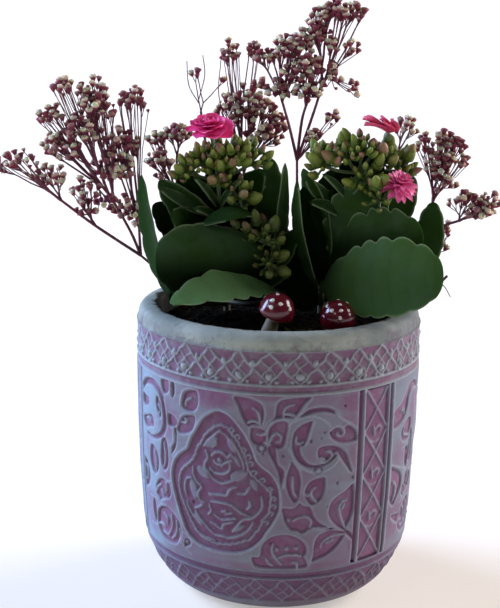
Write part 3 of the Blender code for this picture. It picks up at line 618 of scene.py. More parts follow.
# fine raised lines: run and width
carvedLines = [
    ([(2.5, 104.5), (2.9, 108.2), (4.6, 110), (6.4, 110.4)], 1),
    ([(-8.9, 108.3), (-7.2, 107), (-6.3, 104), (-6.2, 100.6)], 1),
    ([(-10.8, 101.4), (-8.9, 102.4), (-6.8, 101.4)], 1.5), ([(-7.2, 96.3), (-5.6, 96), (-3.7, 97)], 1.2),
    ([(3.2, 106.2), (4.8, 106), (6.6, 105.6)], 1.9),
    ([(-4.6, 92.2), (-2.4, 93), (-1.6, 95.6), (0.2, 96.9), (1.7, 95.4), (1.4, 93.2), (0.2, 92.8)], 1.2),
    ([(-4.1, 96.2), (-3, 100.4), (-0.8, 103), (2.5, 104), (5.9, 103.6)], 1),
    ([(6.5, 75.8), (6.5, 71.5), (7.1, 68), (8.4, 65.8)], 1.2), ([(4.3, 79), (3.4, 75.5), (3.1, 71)], 1),
    ([(13, 113.4), (10.8, 110.6), (9.2, 107.6), (7.4, 104.8), (6.9, 103)], 1.2),
    ([(4.6, 100.6), (6.1, 102.8), (8.9, 104.2), (12.5, 104.9), (15.6, 104.2), (18.4, 102.2), (20.4, 99.4)],
     1.1),
     ([(4.6, 90), (5.4, 88), (6.7, 85), (8.3, 82), (10.8, 79.4), (13.7, 78), (17, 77.6), (20, 78.5),
       (22.9, 81),
      (24.5, 83.5)], 1),
    ([(7.6, 95.2), (7.4, 92.9), (8.6, 91.8), (10.2, 92.6)], 1),
    ([(13.9, 102), (12.9, 97.6), (12.1, 94.2), (11, 91.4)], 1),
    ([(17, 83), (18.8, 82.2), (20.8, 83.6), (21.7, 85.4), (20.8, 87), (19.6, 87.4)], 1),
    ([(16.8, 84), (18.6, 83.6)], 1.6),
    ([(20.4, 96.8), (21.6, 98.2), (23.7, 98.9), (25.7, 97.8), (26.5, 95.6), (25.4, 94), (23.7, 94.6),
      (23.4, 95.8)], 1.1),
    ([(22.5, 106), (23.7, 104), (25.4, 102), (27.5, 100.5), (30, 98.5), (31.6, 96.5)], 1),
    ([(15.4, 69.9), (14.1, 68.9), (13.8, 66.8), (14.6, 64.6), (16, 63)], 1),
    ([(11.4, 67.2), (12.6, 66.2), (13.4, 67)], 1.2),
    ([(7.1, 54), (9.2, 55.3), (11.7, 55.8), (13.4, 54.9), (14.3, 52.8), (13.7, 50.5)], 1.1),
    ([(14.6, 49.9), (18, 49.4), (21.6, 48.9)], 0.8),
    ([(28.9, 61.6), (26.8, 61.2), (25.8, 58.8), (26.1, 55.6), (27, 52.4), (28.8, 48)], 1),
    ([(27.8, 59.8), (26.9, 57.6)], 1),
    ([(28.6, 44.4), (24.5, 44.6), (21.2, 43.5), (19.1, 41.6), (18.7, 39.4)], 1),
    ([(20.8, 41.4), (24, 42.6)], 0.8),
    ([(-0.6, 41.8), (-1.1, 39.4), (-0.4, 36.6), (1.3, 33.6), (2.8, 31.6)], 1.1),
    ([(1.6, 35), (4.6, 36.5), (7.9, 36.6), (10.6, 35.8)], 1.1),
    ([(-3.3, 34.5), (-2.2, 32.2), (-0.6, 30.9)], 1.1), ([(7.3, 32.4), (9, 32.2), (9.2, 29.6)], 1.2),
    ([(9.8, 79.6), (7.8, 82.6)], 0.8),
    ([(-39.9, 104.4), (-39.3, 109), (-38, 112), (-35.9, 113.3), (-32.9, 113.8)], 1.1),
    ([(-37.6, 104.8), (-36.9, 107.4), (-34.6, 108.9)], 1),
    ([(-39.8, 99), (-37.6, 100.6), (-34.4, 101.4)], 1),
    ([(-39.6, 96.2), (-37.8, 96.2), (-36.8, 97.6), (-38, 98.4)], 1.1),
    ([(-49.4, 104.5), (-48.6, 101.5), (-47.7, 98), (-47.3, 93)], 1.1),
    ([(-43.6, 90.4), (-43.6, 85.6), (-45.2, 83), (-46.9, 82.3)], 1.1),
    ([(-50.9, 70.4), (-49.6, 74), (-49.6, 79), (-50.4, 82.6)], 1.2),
    ([(-57.3, 55.3), (-56, 58.2), (-53.8, 59.9)], 1.1), ([(-50.2, 63.8), (-49.4, 60.4), (-50.4, 57)], 1),
    ([(-49.6, 62.8), (-46.2, 64.8)], 1.1), ([(-53.4, 57.4), (-51.8, 55.8)], 1),
    ([(-57.8, 43.6), (-56.4, 46.8), (-53.4, 49.6), (-49.8, 50.5)], 1.2),
    ([(-44.2, 44.4), (-44.2, 40.4), (-45.2, 37), (-47.4, 34.6)], 1.2),
    ([(-42.4, 41.4), (-42, 37), (-43.4, 34)], 1), ([(-57, 38.6), (-54.6, 39.4), (-52.4, 38.6)], 1.1),
    ([(-47.4, 46.4), (-46.8, 42.4), (-48, 38.6)], 1), ([(-52.8, 45.6), (-50.4, 43.8), (-50.8, 40.4)], 1),
    ([(-53.6, 35.8), (-50.2, 35.4), (-48.6, 37.4)], 1), ([(-45.8, 115), (-45.6, 108)], 0.9),
]
leftEndLines = [
    ([(-67.8, 107.8), (-65.2, 110.6), (-62, 112.2), (-58, 112.8)], 1.1),
    ([(-64.8, 90), (-62.6, 91), (-60.8, 89.8)], 1.3), ([(-57, 66.6), (-56.6, 71), (-58, 76)], 1.2),
    ([(-67.6, 65.4), (-65.6, 63.6), (-65.8, 60), (-67.4, 57.6)], 1.1),
    ([(-54.2, 100.6), (-52.4, 98.4), (-53.2, 96.4)], 1), ([(-59.8, 79.6), (-57, 79.2), (-54, 77)], 0.9),
]
nextEndLines = [
    ([(-68, 72.6), (-64, 70.8), (-60, 68.8), (-56, 66.6)], 1.1),
    ([(-58.4, 88.8), (-58.6, 86), (-56, 84), (-51.4, 83.2)], 1.3),
    ([(-61.2, 97.4), (-59.4, 98.4), (-59, 96.2)], 1),
    ([(-64, 53), (-62.6, 57), (-62.8, 61), (-64.6, 62.4)], 2.4),
]
# inside the medallion: leaves that stand out of its cut ground, and fine lines
medallionLeaves = [
    ((-28.4, 87.4), (-22.8, 92.6), 4.6), ((-18.2, 93.4), (-15.6, 86), 4.2),
    ((-31.8, 76.2), (-26.6, 71.6), 4.6), ((-17.8, 73.4), (-10.6, 77.2), 5.4),
    ((-34.8, 69.4), (-33, 59.4), 4.6), ((-9.4, 74.4), (-7, 68.4), 3.6), ((-34.2, 52), (-30, 46.4), 3.2),
    ((-16.8, 47), (-11.6, 51), 2.6), ((-15.9, 84.6), (-13.6, 79.4), 2.6),
]
medallionLines = [
    ([(-34.2, 75.4), (-34, 72), (-32.6, 69), (-30.2, 66.6), (-31.7, 64), (-31.9, 61.5), (-30.9, 59.5),
      (-29, 58.9)], 1.1),
    ([(-37.6, 60.4), (-38.4, 63.4), (-38.2, 66.6), (-37.2, 69), (-35.2, 69.9)], 1),
    ([(-25.5, 83.2), (-23.4, 85.4), (-20.9, 85.4), (-18.8, 83.4)], 1.1),
    ([(-18.6, 83.6), (-17.4, 85.2), (-16.6, 84)], 1),
    ([(-17.8, 80.4), (-18.2, 77), (-20.9, 75), (-24.2, 75), (-26.2, 76.6)], 1.1),
    ([(-21.4, 78.8), (-20, 80.5), (-17.2, 82)], 1.2), ([(-24.6, 80.8), (-23, 79.4), (-21.4, 79.8)], 1),
    ([(-28, 84.8), (-27.1, 82), (-28.4, 79.2), (-28.6, 76.6), (-26.7, 74.4), (-25.1, 72), (-21.7, 70.3),
      (-19.3, 71), (-16.8, 72.2)], 1.1),
    ([(-23, 95), (-25, 92.6), (-27.2, 90), (-28.9, 87.2)], 1),
    ([(-20.9, 95), (-19.3, 94), (-17.6, 91.5), (-15.5, 89),
      (-13.9, 85.5), (-12.7, 82), (-12.3, 79)], 1), ([(-23, 95), (-22, 95.6), (-20.9, 95)], 1),
    ([(-24.2, 91.8), (-23.6, 89.2), (-25.4, 87.4)], 0.9), ([(-10, 70), (-11.8, 66.6), (-14.7, 66.2)], 1.1),
    ([(-26.7, 63.8), (-23, 64.2), (-19.3, 64.7), (-18.4, 66.8), (-17, 68.6), (-15.4, 69.4)], 1.1),
    ([(-25.9, 60.3), (-21.7, 60.5), (-17.6, 60), (-15.5, 58.5), (-12.6, 56.4), (-9.8, 55.4)], 1.1),
    ([(-24.7, 54), (-21.7, 52.2), (-18.8, 52.6), (-15.5, 53.6)], 1), ([(-21.4, 56), (-19.8, 56.6)], 0.9),
    ([(-19.8, 55.2), (-17.2, 56)], 0.9),
    ([(-26.4, 49.6), (-24.2, 48.8), (-21.7, 47.2), (-20.6, 49.6), (-16.8, 51.5)], 1),
    ([(-5.3, 65.6), (-5, 60.8), (-6.8, 57), (-9.4, 54.4), (-12.6, 53.4), (-14.7, 50.5), (-17, 46.8)], 1.1),
    ([(-8.6, 52.6), (-9.9, 49.6), (-11.6, 47.2), (-14.3, 45), (-18.4, 43.2), (-21.7, 43.6), (-24.2, 43.6),
      (-26.3, 45), (-28.4, 47), (-31.3, 50.5), (-33.4, 53.4)], 1.1),
    ([(-33.6, 55), (-31.6, 56.2), (-29.9, 57.8)], 1.3), ([(-10, 62.8), (-9.8, 60.6), (-11, 59)], 1.2),
    ([(-34, 44), (-29.4, 41.4), (-25, 40.6)], 0.9), ([(-26.8, 58.4), (-26, 55.6), (-27.4, 53.4)], 0.9),
    ([(-37.6, 57), (-36.2, 53.6), (-34.4, 50.4)], 1),
]
# beads and small bosses: place and radius
carvedBeads = [
    ((0.9, 39.5), 0.8), ((5, 39.8), 0.8), ((8.6, 40), 0.8), ((5.2, 54.5), 0.7), ((-5.4, 89.8), 1.5),
    ((16.2, 78.7), 1.4), ((-21.9, 81.6), 1.0), ((-38, 36), 1.0),
]
pits = [
    ((13.1, 93.1), 0.8), ((24.2, 71.2), 0.8), ((2.6, 86.3), 0.7), ((31, 72.8), 0.8), ((26.4, 108.5), 0.7),
    ((-25.9, 74.6), 1), ((20.4, 60.3), 0.5), ((-34.4, 57.6), 1.3), ((-18, 73.6), 0.7), ((8.6, 66), 0.6),
    ((-4.8, 86.8), 0.6), ((-1.6, 42.2), 0.7), ((-48.3, 55.6), 1.2), ((-54.4, 52.4), 0.9), ((6, 83), 0.6),
    ((21, 96), 0.5), ((-8.4, 87.2), 0.5), ((17.2, 94.2), 0.4), ((18.4, 96.6), 0.4),
]
hookShape = [(-1.1, 0.5), (0, 1.1), (0.8, 0.2), (0.2, -0.8)]
thirds = (-120, 0, 120)  # how far round a shape stands again
# the upright strip: angles across it, and heights of its sprigs counted from their middle
stripe = {
    "cuts": ((32.6, 34.8), (49.3, 51.0), (35.9, 48.3)),
    "edges": (35.3, 48.7, 51.5, -68.3),
    "crossed": (35.8, 48.4),
    "middle": 42.2,
    "halfWidth": 6.25,
    "crossing": 104.0,  # height of one crossing
    "pitch": 10.7,
    "sprigs": (93.3, 71.9, 50.5),
    # run, width and strength
    "sprig": [
        ([(40.8, 1.6), (41.2, -2)], 1.2, 1.0),
        ([(41.6, 0.6), (43.4, 1.8), (45, 0.6), (44, -1.4)], 0.9, 0.7),
        ([(39, -4.6), (41.4, -5.8), (43.6, -5)], 0.8, 0.5),
    ],
}


def wallRadius(height):
    # the pot's outer radius, from its curved foot to its nearly straight wall
    shoulderRadius, shoulderHeight = potSizes["shoulder"]
    rise = np.clip((shoulderHeight - height) / shoulderHeight, 0, 1)
    curved = potSizes["foot"] + (shoulderRadius - potSizes["foot"]) * np.sqrt(1 - rise ** 2)
    straight = np.interp(height, [shoulderHeight, 60, 85, 117], [shoulderRadius, 68.8, 69.6, 70])
    return np.where(height < shoulderHeight, curved, straight)


def nearCurve(places, curve):
    # each place's distance from a curve, and the share of the curve's length beside it
    lengths = np.hypot(*np.diff(curve, axis=0).T)
    before = np.concatenate([[0], np.cumsum(lengths)])
    nearest = np.full(len(places), 1e9)
    share = np.zeros(len(places))
    for index, start in enumerate(curve[:-1]):
        span = curve[index + 1] - start
        part = np.clip((places - start) @ span / (span @ span + 1e-12), 0, 1)
        gap = np.hypot(*(places - start - part[:, None] * span).T)
        closer = gap < nearest
        nearest[closer] = gap[closer]
        share[closer] = (before[index] + part[closer] * lengths[index]) / before[-1]
    return nearest, share


def insideLoop(places, loop):
    inside = np.zeros(len(places), bool)
    for first, second in zip(loop, np.roll(loop, -1, 0)):
        spans = (first[1] > places[:, 1]) != (second[1] > places[:, 1])
        slope = (second[0] - first[0]) / (second[1] - first[1] + 1e-12)
        inside ^= spans & (places[:, 0] < slope * (places[:, 1] - first[1]) + first[0])
    return inside


def loopDepth(places, loop):
    # how far each place is inside a closed curve, and the share of the curve's length beside it
    gap, share = nearCurve(places, np.concatenate([loop, loop[:1]]))
    return np.where(insideLoop(places, loop), gap, -gap), share


def raiseTo(layer, where, value):
    layer[where] = np.maximum(layer[where], value)


class Carving:
    # the relief over a stretch of wall, gathered shape by shape
    def __init__(self, angles, heights):
        self.scale = np.array([math.radians(1) * potSizes["carvedRadius"], 1])  # degrees to lengths
        self.shape = (len(heights), len(angles))
        grid = np.meshgrid(angles, heights)
        self.places = np.stack([part.ravel() for part in grid], 1) * self.scale
        self.inside = np.full(len(self.places), -9.0)  # how far a place is inside a cut
        self.line = np.zeros(len(self.places))
        self.boss = np.zeros(len(self.places))
        self.dim = np.zeros(len(self.places))  # darker ground

    def near(self, points, margin):
        # the places round a shape, for the shape and its copies on the neighbouring thirds
        low = points.min(0) - margin
        high = points.max(0) + margin
        for turn in thirds:
            shift = np.array([turn, 0]) * self.scale
            found = np.all((self.places > low + shift) & (self.places < high + shift), 1)
            if found.any():
                yield np.nonzero(found)[0], self.places[found] - shift

    def cut(self, where, depth):
        raiseTo(self.inside, where, depth)

    def blade(self, foot, point, width, taper):
        # the places round a leaf: their share of its length, their depth inside its edges, and its length
        ends = np.array([foot, point]) * self.scale
        span = ends[1] - ends[0]
        length = np.hypot(*span)
        along = span / length
        for where, places in self.near(ends, width):
            share = (places - ends[0]) @ along / length
            across = np.abs((places - ends[0]) @ np.array([-along[1], along[0]]))
            half = width / 2 * np.sin(math.pi * np.clip(share, 0, 1) ** 0.8) ** taper
            yield where, share, half - across, length

    def leaf(self, foot, point, width):
        for where, share, depth, length in self.blade(foot, point, width, 0.8):
            past = np.abs(share - 0.5) - 0.5
            self.cut(where, np.where(past > 0, -past * length, depth) - 0.1)

    def band(self, run, first, last):
        curve = smoothCurve(np.array(run) * self.scale, 4)
        for where, places in self.near(curve, first + 1):
            gap, share = nearCurve(places, curve)
            swell = 1 - 0.35 * np.cos(share * math.pi) ** 8
            self.cut(where, (first + (last - first) * share) / 2 * swell - gap)

    def area(self, loop):
        curve = smoothLoop(np.array(loop) * self.scale, 4)
        for where, places in self.near(curve, 2):
            self.cut(where, loopDepth(places, curve)[0])

    def ridge(self, run, width, strength=1.0):
        curve = smoothCurve(np.array(run) * self.scale, 5)
        for where, places in self.near(curve, width + 1):
            gap, share = nearCurve(places, curve)
            half = width / 2 * (1 - 0.4 * np.abs(2 * share - 1) ** 3)
            raiseTo(self.line, where, strength * (1 - smoothStep(gap, half * 0.45, half * 0.45 + 0.62)))

    def bead(self, place, radius):
        centre = np.array([place]) * self.scale
        for where, places in self.near(centre, radius + 2):
            gap = np.hypot(*(places - centre[0]).T)
            self.cut(where, 1 - np.abs(gap - radius))
            raiseTo(self.boss, where, np.sqrt(np.clip(1 - (gap / (radius + 0.3)) ** 2, 0, 1)))

    def relief(self):
        # the wall's height, and masks for the pink, the pale edges and the dark corners; the dark corners
        # are pooled paint and painted shade
        cut = smoothStep(self.inside, -0.15, potSizes["cutSlope"])
        height = -potSizes["cutDepth"] * cut
        onFace = potSizes["lineOnFace"]
        height += self.line * (onFace + (potSizes["lineHeight"] - onFace) * cut)
        height = np.maximum(height, -potSizes["cutDepth"] + self.boss * potSizes["bossHeight"])
        rim = np.exp(-((self.inside + 0.35) / 0.45) ** 2)
        pale = np.clip(np.maximum(self.line, rim * 0.8) + (self.boss > 0.35) * 0.6, 0, 1)
        # corner darkens the foot of each cut's wall: painted shade with some pooled paint; the darker
        # ground adds to it
        corner = np.exp(-((self.inside - 0.85) / 0.5) ** 2) * (1 - self.line)
        corner = np.maximum(corner, self.dim * (0.65 - 0.35 * self.line))
        pink = cut * (1 - np.clip(self.line * 1.1, 0, 1)) * (1 - smoothStep(self.boss, 0.05, 0.4))
        return [part.reshape(self.shape) for part in (height, pink, pale, corner)]


def carveMedallion(carving):
    # a pink rim between a smooth ridge and a scalloped one, round a cut ground with leaves and fine lines
    loop = smoothLoop(np.array(medallion) * carving.scale, 4)
    for where, places in carving.near(loop, 3):
        inner = loopDepth(places, loop)[0]
        carving.cut(where, inner - 0.3)
        raiseTo(carving.dim, where, smoothStep(inner, 0, 3))
        raiseTo(carving.line, where, 1 - smoothStep(np.abs(inner), 0.3, 0.95))
    ridge = smoothLoop(np.array(medallionRidge) * carving.scale, 4)
    for where, places in carving.near(ridge, 3):
        inner, share = loopDepth(places, ridge)
        scallop = 0.45 * np.abs(np.sin(share * 52 * math.pi + 2 * np.sin(share * 9))) - 0.25
        raiseTo(carving.line, where, 0.95 * (1 - smoothStep(np.abs(inner + scallop), 0.2, 0.85)))
    for angle, height in medallionHooks:
        carving.ridge([(angle + aside, height + up) for aside, up in hookShape], 0.8, 0.9)
    for leaf in medallionLeaves:
        for where, share, depth, length in carving.blade(*leaf, 0.6):
            raiseTo(carving.boss, where, smoothStep(depth, -0.2, 0.7) * 0.62)
    for run, width in medallionLines:
        carving.ridge(run, width)


def carveStripe(carving):
    # the upright strip of crossed lines between two pink bars
    angle = carving.places[:, 0] / carving.scale[0]
    height = carving.places[:, 1]
    everywhere = slice(None)
    for low, high in stripe["cuts"]:
        carving.cut(everywhere, (np.minimum(angle - low, high - angle)) * carving.scale[0])
    for middle in stripe["edges"]:
        raised = 1 - smoothStep(np.abs(angle - middle) * carving.scale[0], 0.2, 0.75)
        raiseTo(carving.line, everywhere, raised * 0.85)
    across = (angle - stripe["middle"]) / stripe["halfWidth"]
    phase = (height - stripe["crossing"]) / stripe["pitch"]
    low, high = stripe["crossed"]
    for sign in (1, -1):
        gap = np.abs((phase + sign * across + 1) % 2 - 1) * 5.5
        raised = (1 - smoothStep(gap, 0.15, 0.7)) * ((angle > low) & (angle < high))
        raiseTo(carving.line, everywhere, raised * 0.8)
    for middle in stripe["sprigs"]:
        for run, width, strength in stripe["sprig"]:
            carving.ridge([(angle, middle + up) for angle, up in run], width, strength)


def panelCarving(angles, heights, shapes, bands, leaves, lines):
    carving = Carving(angles, heights)
    for leaf in carvedLeaves + leaves:
        carving.leaf(*leaf)
    for band in carvedBands + bands:
        carving.band(*band)
    for loop in carvedShapes + shapes:
        carving.area(loop)
    for line in carvedLines + lines:
        carving.ridge(*line)
    carveStripe(carving)
    carveMedallion(carving)
    for bead in carvedBeads:
        carving.bead(*bead)
    height, pink, pale, corner = carving.relief()
    for place, radius in pits:
        for where, places in carving.near(np.array([place]) * carving.scale, radius + 1):
            gap = np.hypot(*(places - np.array(place) * carving.scale).T)
            hole = 1 - smoothStep(gap, radius * 0.3, radius)
            height.ravel()[where] -= hole * 0.8
            # the pits are darkened through the corner mask as painted shade
            raiseTo(corner.ravel(), where, hole * 1.6)
    angle, level = np.meshgrid(angles, heights)
    for place, reach, share in wornPatches:
        for turn in thirds:
            gap = np.hypot((angle - place[0] - turn) / reach[0], (level - place[1]) / reach[1])
            worn = share * (1 - smoothStep(gap, 0.45, 1.15)) * (1 - pale)
            pink = np.maximum(pink, worn)
    return height, pink, pale, corner


def latticeCarving(angles, heights, middle, half, offset, beads):
    # a band of crossed lozenges, each with a smaller cross in it
    angle, height = np.meshgrid(angles, heights)
    around = np.radians(angle)
    drift = np.sin(7 * around + 0.31 * height) + np.sin(17 * around - 0.5 * height)
    drift += np.sin(41 * around + 0.9 * height)
    turns = (angle - offset) / (360 / potSizes["lattice"]) + 0.022 * drift
    mid = math.pi * wallRadius(height) / potSizes["lattice"]
    across = np.abs(turns - np.round(turns)) * 2
    up = np.abs((height - middle) / half + 0.03 * np.sin(23 * around + 0.4 * height))
    slope = 1 / np.sqrt(1 / mid ** 2 + 1 / half ** 2)
    outline = np.abs(across + up - 1) * slope
    cross = np.where(across + up < 1, np.abs(across - up) * slope, 9)
    line = 1 - smoothStep(outline, 0.2, 0.8)
    line = np.maximum(line, (1 - smoothStep(cross, 0.1, 0.7)) * 0.85)
    line *= 0.8 + 0.2 * np.sin(29 * around + 1.3 * height)
    boss = np.zeros_like(line)
    for beadTurn, beadHeight, size in beads:
        gap = (turns - beadTurn - np.round(turns - beadTurn)) * 2 * mid
        dome = np.clip(1 - (gap ** 2 + (height - beadHeight) ** 2) / size ** 2, 0, 1)
        boss = np.maximum(boss, np.sqrt(dome))
    cutDepth = potSizes["cutDepth"] * 0.85
    relief = np.maximum(line * cutDepth, boss * 1.2) - cutDepth
    pale = np.clip(line + smoothStep(boss, 0.1, 0.5) * 0.7, 0, 1)
    pink = (1 - np.clip(line * 1.15, 0, 1)) * (1 - smoothStep(boss, 0.1, 0.4))
    # dark at the feet of the lines and round the bosses: painted shade with some pooled paint
    corner = np.exp(-((line - 0.25) / 0.22) ** 2) * (1 - boss) * 0.8
    corner = np.maximum(corner, np.exp(-((boss - 0.12) / 0.1) ** 2) * 0.8)
    return relief, pink, pale, corner


def rail(heights, low, high):
    # a pink ring round the pot, cut between two fine pale edges
    inside = np.minimum(heights - low, high - heights)
    line = np.zeros(len(heights))
    for edge in (low - 0.5, high + 0.5):
        line = np.maximum(line, 1 - smoothStep(np.abs(heights - edge), 0.3, 0.9))
    cut = smoothStep(inside, -0.1, 0.6)
    # dark just inside the cut's edges: painted shade with some pooled paint
    corner = np.exp(-((inside - 0.35) / 0.4) ** 2)
    return [mask[:, None] for mask in (-0.75 * cut + 0.3 * line, cut, line * (1 - cut), corner)]


def turnedPiece(name, rows, relief, angles, loop, **masks):
    # rows run up the outer side and on round the section; relief pushes each outwards along its normal
    rows = np.asarray(rows, float)
    ahead = np.roll(rows, -1, 0) - np.roll(rows, 1, 0)
    if not loop:
        ahead[0] = rows[1] - rows[0]
        ahead[-1] = rows[-1] - rows[-2]
    normal = np.stack([ahead[:, 1], -ahead[:, 0]], 1) / (np.hypot(*ahead.T)[:, None] + 1e-9)
    angle = np.radians(angles)
    radius = rows[:, :1] + normal[:, :1] * relief
    height = np.broadcast_to(rows[:, 1:] + normal[:, 1:] * relief, radius.shape)
    places = np.stack([radius * np.sin(angle), -radius * np.cos(angle), height], 2).reshape(-1, 3)
    swell = waves(places, 70, 3) * potSizes["wobble"]
    around = np.hypot(places[:, 0], places[:, 1]) + 1e-9
    places[:, :2] *= (1 + swell / np.maximum(around, 20))[:, None]
    faces = ringFaces(len(rows), len(angles), True) if loop else tubeFaces(len(rows), len(angles))
    if not loop:
        places = np.concatenate([places, [[0, 0, rows[0, 1]], [0, 0, rows[-1, 1]]]])
        masks = {label: np.append(mask.ravel(), [0, 0]) for label, mask in masks.items()}
    piece = newPiece(name, places, faces, **masks)
    piece.data.set_sharp_from_angle(angle=math.radians(potSizes["crease"]))
    return piece


def carvedCourse(name, outer, masks, inner, angles, loop=True):
    # a ring of the pot with carved outer rows, and plain inner ones that close it
    plain = np.zeros((len(inner), len(angles)))
    relief, pink, pale, corner = [np.concatenate([mask, plain]) for mask in masks]
    rows = np.concatenate([outer, np.asarray(inner, float)])
    return turnedPiece(name, rows, relief, angles, loop, pink=pink, pale=pale, corner=corner)


def evenRows(low, high):
    heights = np.linspace(low, high, round((high - low) / potSizes["rowStep"]) + 1)
    return np.stack([wallRadius(heights), heights], 1)


def latticeCourse(outer, angles, lattice, bar, isRail, isBand):
    # a band of lozenges and the rail beside it, each over its own heights
    heights = outer[:, 1]
    band = latticeCarving(angles, heights, *lattice)
    masks = zip(band, rail(heights, *bar))
    return [upper * isBand[:, None] + lower * isRail[:, None] for upper, lower in masks]


def makePot(stoneware):
    front = np.linspace(-75, 75, potSizes["frontColumns"], endpoint=False)
    angles = np.concatenate([front, np.linspace(75, 285, potSizes["backColumns"], endpoint=False)])
    start = potSizes["panelStart"]
    panel = (angles - start) // 120 % 3
    local = (angles - start) % 120 + start
    mouth, floor = potSizes["mouth"], potSizes["floor"]
    low, high, top = potSizes["courses"]

    # the main field, from the lower rail to the upper one
    outer = evenRows(low, high)
    leftEnd = [leftEndShapes, leftEndBands, leftEndLeaves, leftEndLines]
    nextEnd = [nextEndShapes, [], nextEndLeaves, nextEndLines]
    field = [np.zeros((len(outer), len(angles))) for mask in range(4)]
    for index, ornament in enumerate((leftEnd, nextEnd, leftEnd)):
        for mask, carved in zip(field, panelCarving(local[panel == index], outer[:, 1], *ornament)):
            mask[:, panel == index] = carved
    pieces = [carvedCourse("pot_field", outer, field, [(mouth, high), (mouth, 44), (51.5, low)], angles)]

    # the upper rail and the band of lozenges over it
    outer = evenRows(high, top)
    isBand = smoothStep(outer[:, 1], 119.3, 119.9)
    isRail = 1 - isBand
    isBand = isBand * (1 - smoothStep(outer[:, 1], 134.2, 134.8))
    beads = ((0.5, 129.6, 1.3), (0, 123.5, 1.8), (0.27, 121, 1), (0.73, 121, 1))
    band = latticeCourse(outer, angles, (127.2, 7.6, 8.6, beads), (115.5, 118.9), isRail, isBand)
    pieces.append(carvedCourse("pot_band", outer, band, [(mouth + 0.5, top), (mouth + 0.5, high)], angles))

    # the lower rail, the darker band of lozenges, and the foot
    foot = [(radius, 0.9) for radius in (1, 14, 28, 36)] + [(37.5, 0.3), (39, 0), (41.5, 0)]
    outer = evenRows(0.8, low)
    isRail = smoothStep(outer[:, 1], 22.6, 23.2)
    isBand = smoothStep(outer[:, 1], 8.6, 9.4) * (1 - isRail)
    band = latticeCourse(outer, angles, (15.8, 6.7, 3.6, ()), (23.8, 27.1), isRail, isBand)
    band = [np.concatenate([np.zeros((len(foot), len(angles))), mask]) for mask in band]
    inner = [(51.5, low), (44.8, floor), (22, floor), (1, floor)]
    pieces.append(carvedCourse("pot_foot", np.concatenate([foot, outer]), band, inner, angles, loop=False))

    # the plain rounded lip
    lip = smoothCurve([
        (70.1, 135), (69.3, 135.8), (69.2, 137.4), (68.7, 139.6), (67.2, 141.5), (65, 142.4), (62, 142.6),
        (60, 142), (58.9, 140.6), (58.8, 138), (58.8, 132),
    ], 4)
    lip = np.concatenate([lip, [(58.8, 118), (64, 118), (64, 135)]])
    dents = waves(np.concatenate([lip, lip[:, :1]], 1), 9, 5)[:, None] * 0.05
    lipAngles = angles[::2]
    relief = np.broadcast_to(dents, (len(lip), len(lipAngles)))
    pieces.append(turnedPiece("pot_lip", lip, relief, lipAngles, True))
    for piece in pieces:
        finishPiece(piece, stoneware[piece.name], "cast_stone", "pot")


def makeStoneware(name, face, cutColour, dust, stain):
    # pale wash rubbed over a mauve-pink base: the cuts stay pink, and their corners and the pits are
    # darkened by pooled paint and by painted shade
    material, nodes, shader = newMaterial(name)
    where = nodes.objectPlace()
    aside = nodes.placeAlong("X")

    def cloud(scale, detail, rough, *ends, place=where):
        return nodes.ramp(nodes.noise(place, scale, detail, rough), *ends)

    speckle = nodes.group(grain, Fine=1500.0, Coarse=90.0, Contrast=1.0)
    wide = nodes.group(grain, Fine=420.0, Coarse=22.0, Contrast=1.6)
    stretched = nodes.fill("ShaderNodeMapping", {"Scale": (1, 1, 6), "Vector": where}).outputs[0]
    streaks = cloud(45.0, 4.0, 0.7, 0.38, 0.68, place=stretched)
    cloudy = nodes.ramp(wide.outputs["Blotch"], 0.3, 0.75)
    faceColour = nodes.layers(
        face,
        (nodes.math("MAXIMUM", nodes.times(cloudy, stain), nodes.times(streaks, stain * 0.8)), cutColour),
        (cloud(34.0, 3.0, 0.55, 0.48, 0.75, 0.0, 0.45), tinted(face, (0.68, 0.68, 0.578))),
        # the left side of the wash is painted lighter and bluer as painted light, and the right side darker
        # as painted shade
        (nodes.ramp(aside, -0.064, -0.046, 0.85, 0.0), tinted(face, (1.05, 1.4, 1.45))),
        (nodes.ramp(aside, 0.045, 0.062, 0.0, 0.6), tinted(face, (0.8, 0.9, 0.95))),
    )
    pinkColour = nodes.layers(
        cutColour,
        (cloud(260.0, 5.0, 0.7, 0.46, 0.78, 0.0, dust), face),
        (cloud(60.0, 3.0, 0.55, 0.3, 0.7, 0.0, 0.35), tinted(cutColour, 0.62)),
    )
    patchy = cloud(190.0, 5.0, 0.75, 0.3, 0.6, 0.6, 1.0)
    broken = cloud(330.0, 4.0, 0.7, 0.28, 0.6, 0.3, 1.0)
    colour = nodes.layers(
        faceColour,
        (nodes.times(nodes.attribute("pink"), patchy), pinkColour),
        (nodes.times(nodes.attribute("pale"), broken), tinted(face, 1.3)),
        # the corner mask paints shade, with some pooled paint, into the cuts' corners and the pits
        (nodes.times(nodes.attribute("corner"), 0.5, clamp=True), (0.054, 0.018, 0.045)),
        (nodes.ramp(speckle.outputs["Blotch"], 0.74, 0.9, 0.0, 0.6), (0.048, 0.036, 0.048)),
    )
    roughness = nodes.ramp(speckle.outputs["Blotch"], 0.2, 0.9, 0.72, 0.95)
    nodes.dress(shader, colour, roughness, nodes.bump(speckle.outputs["Height"], 0.45, 0.0004))
    return material


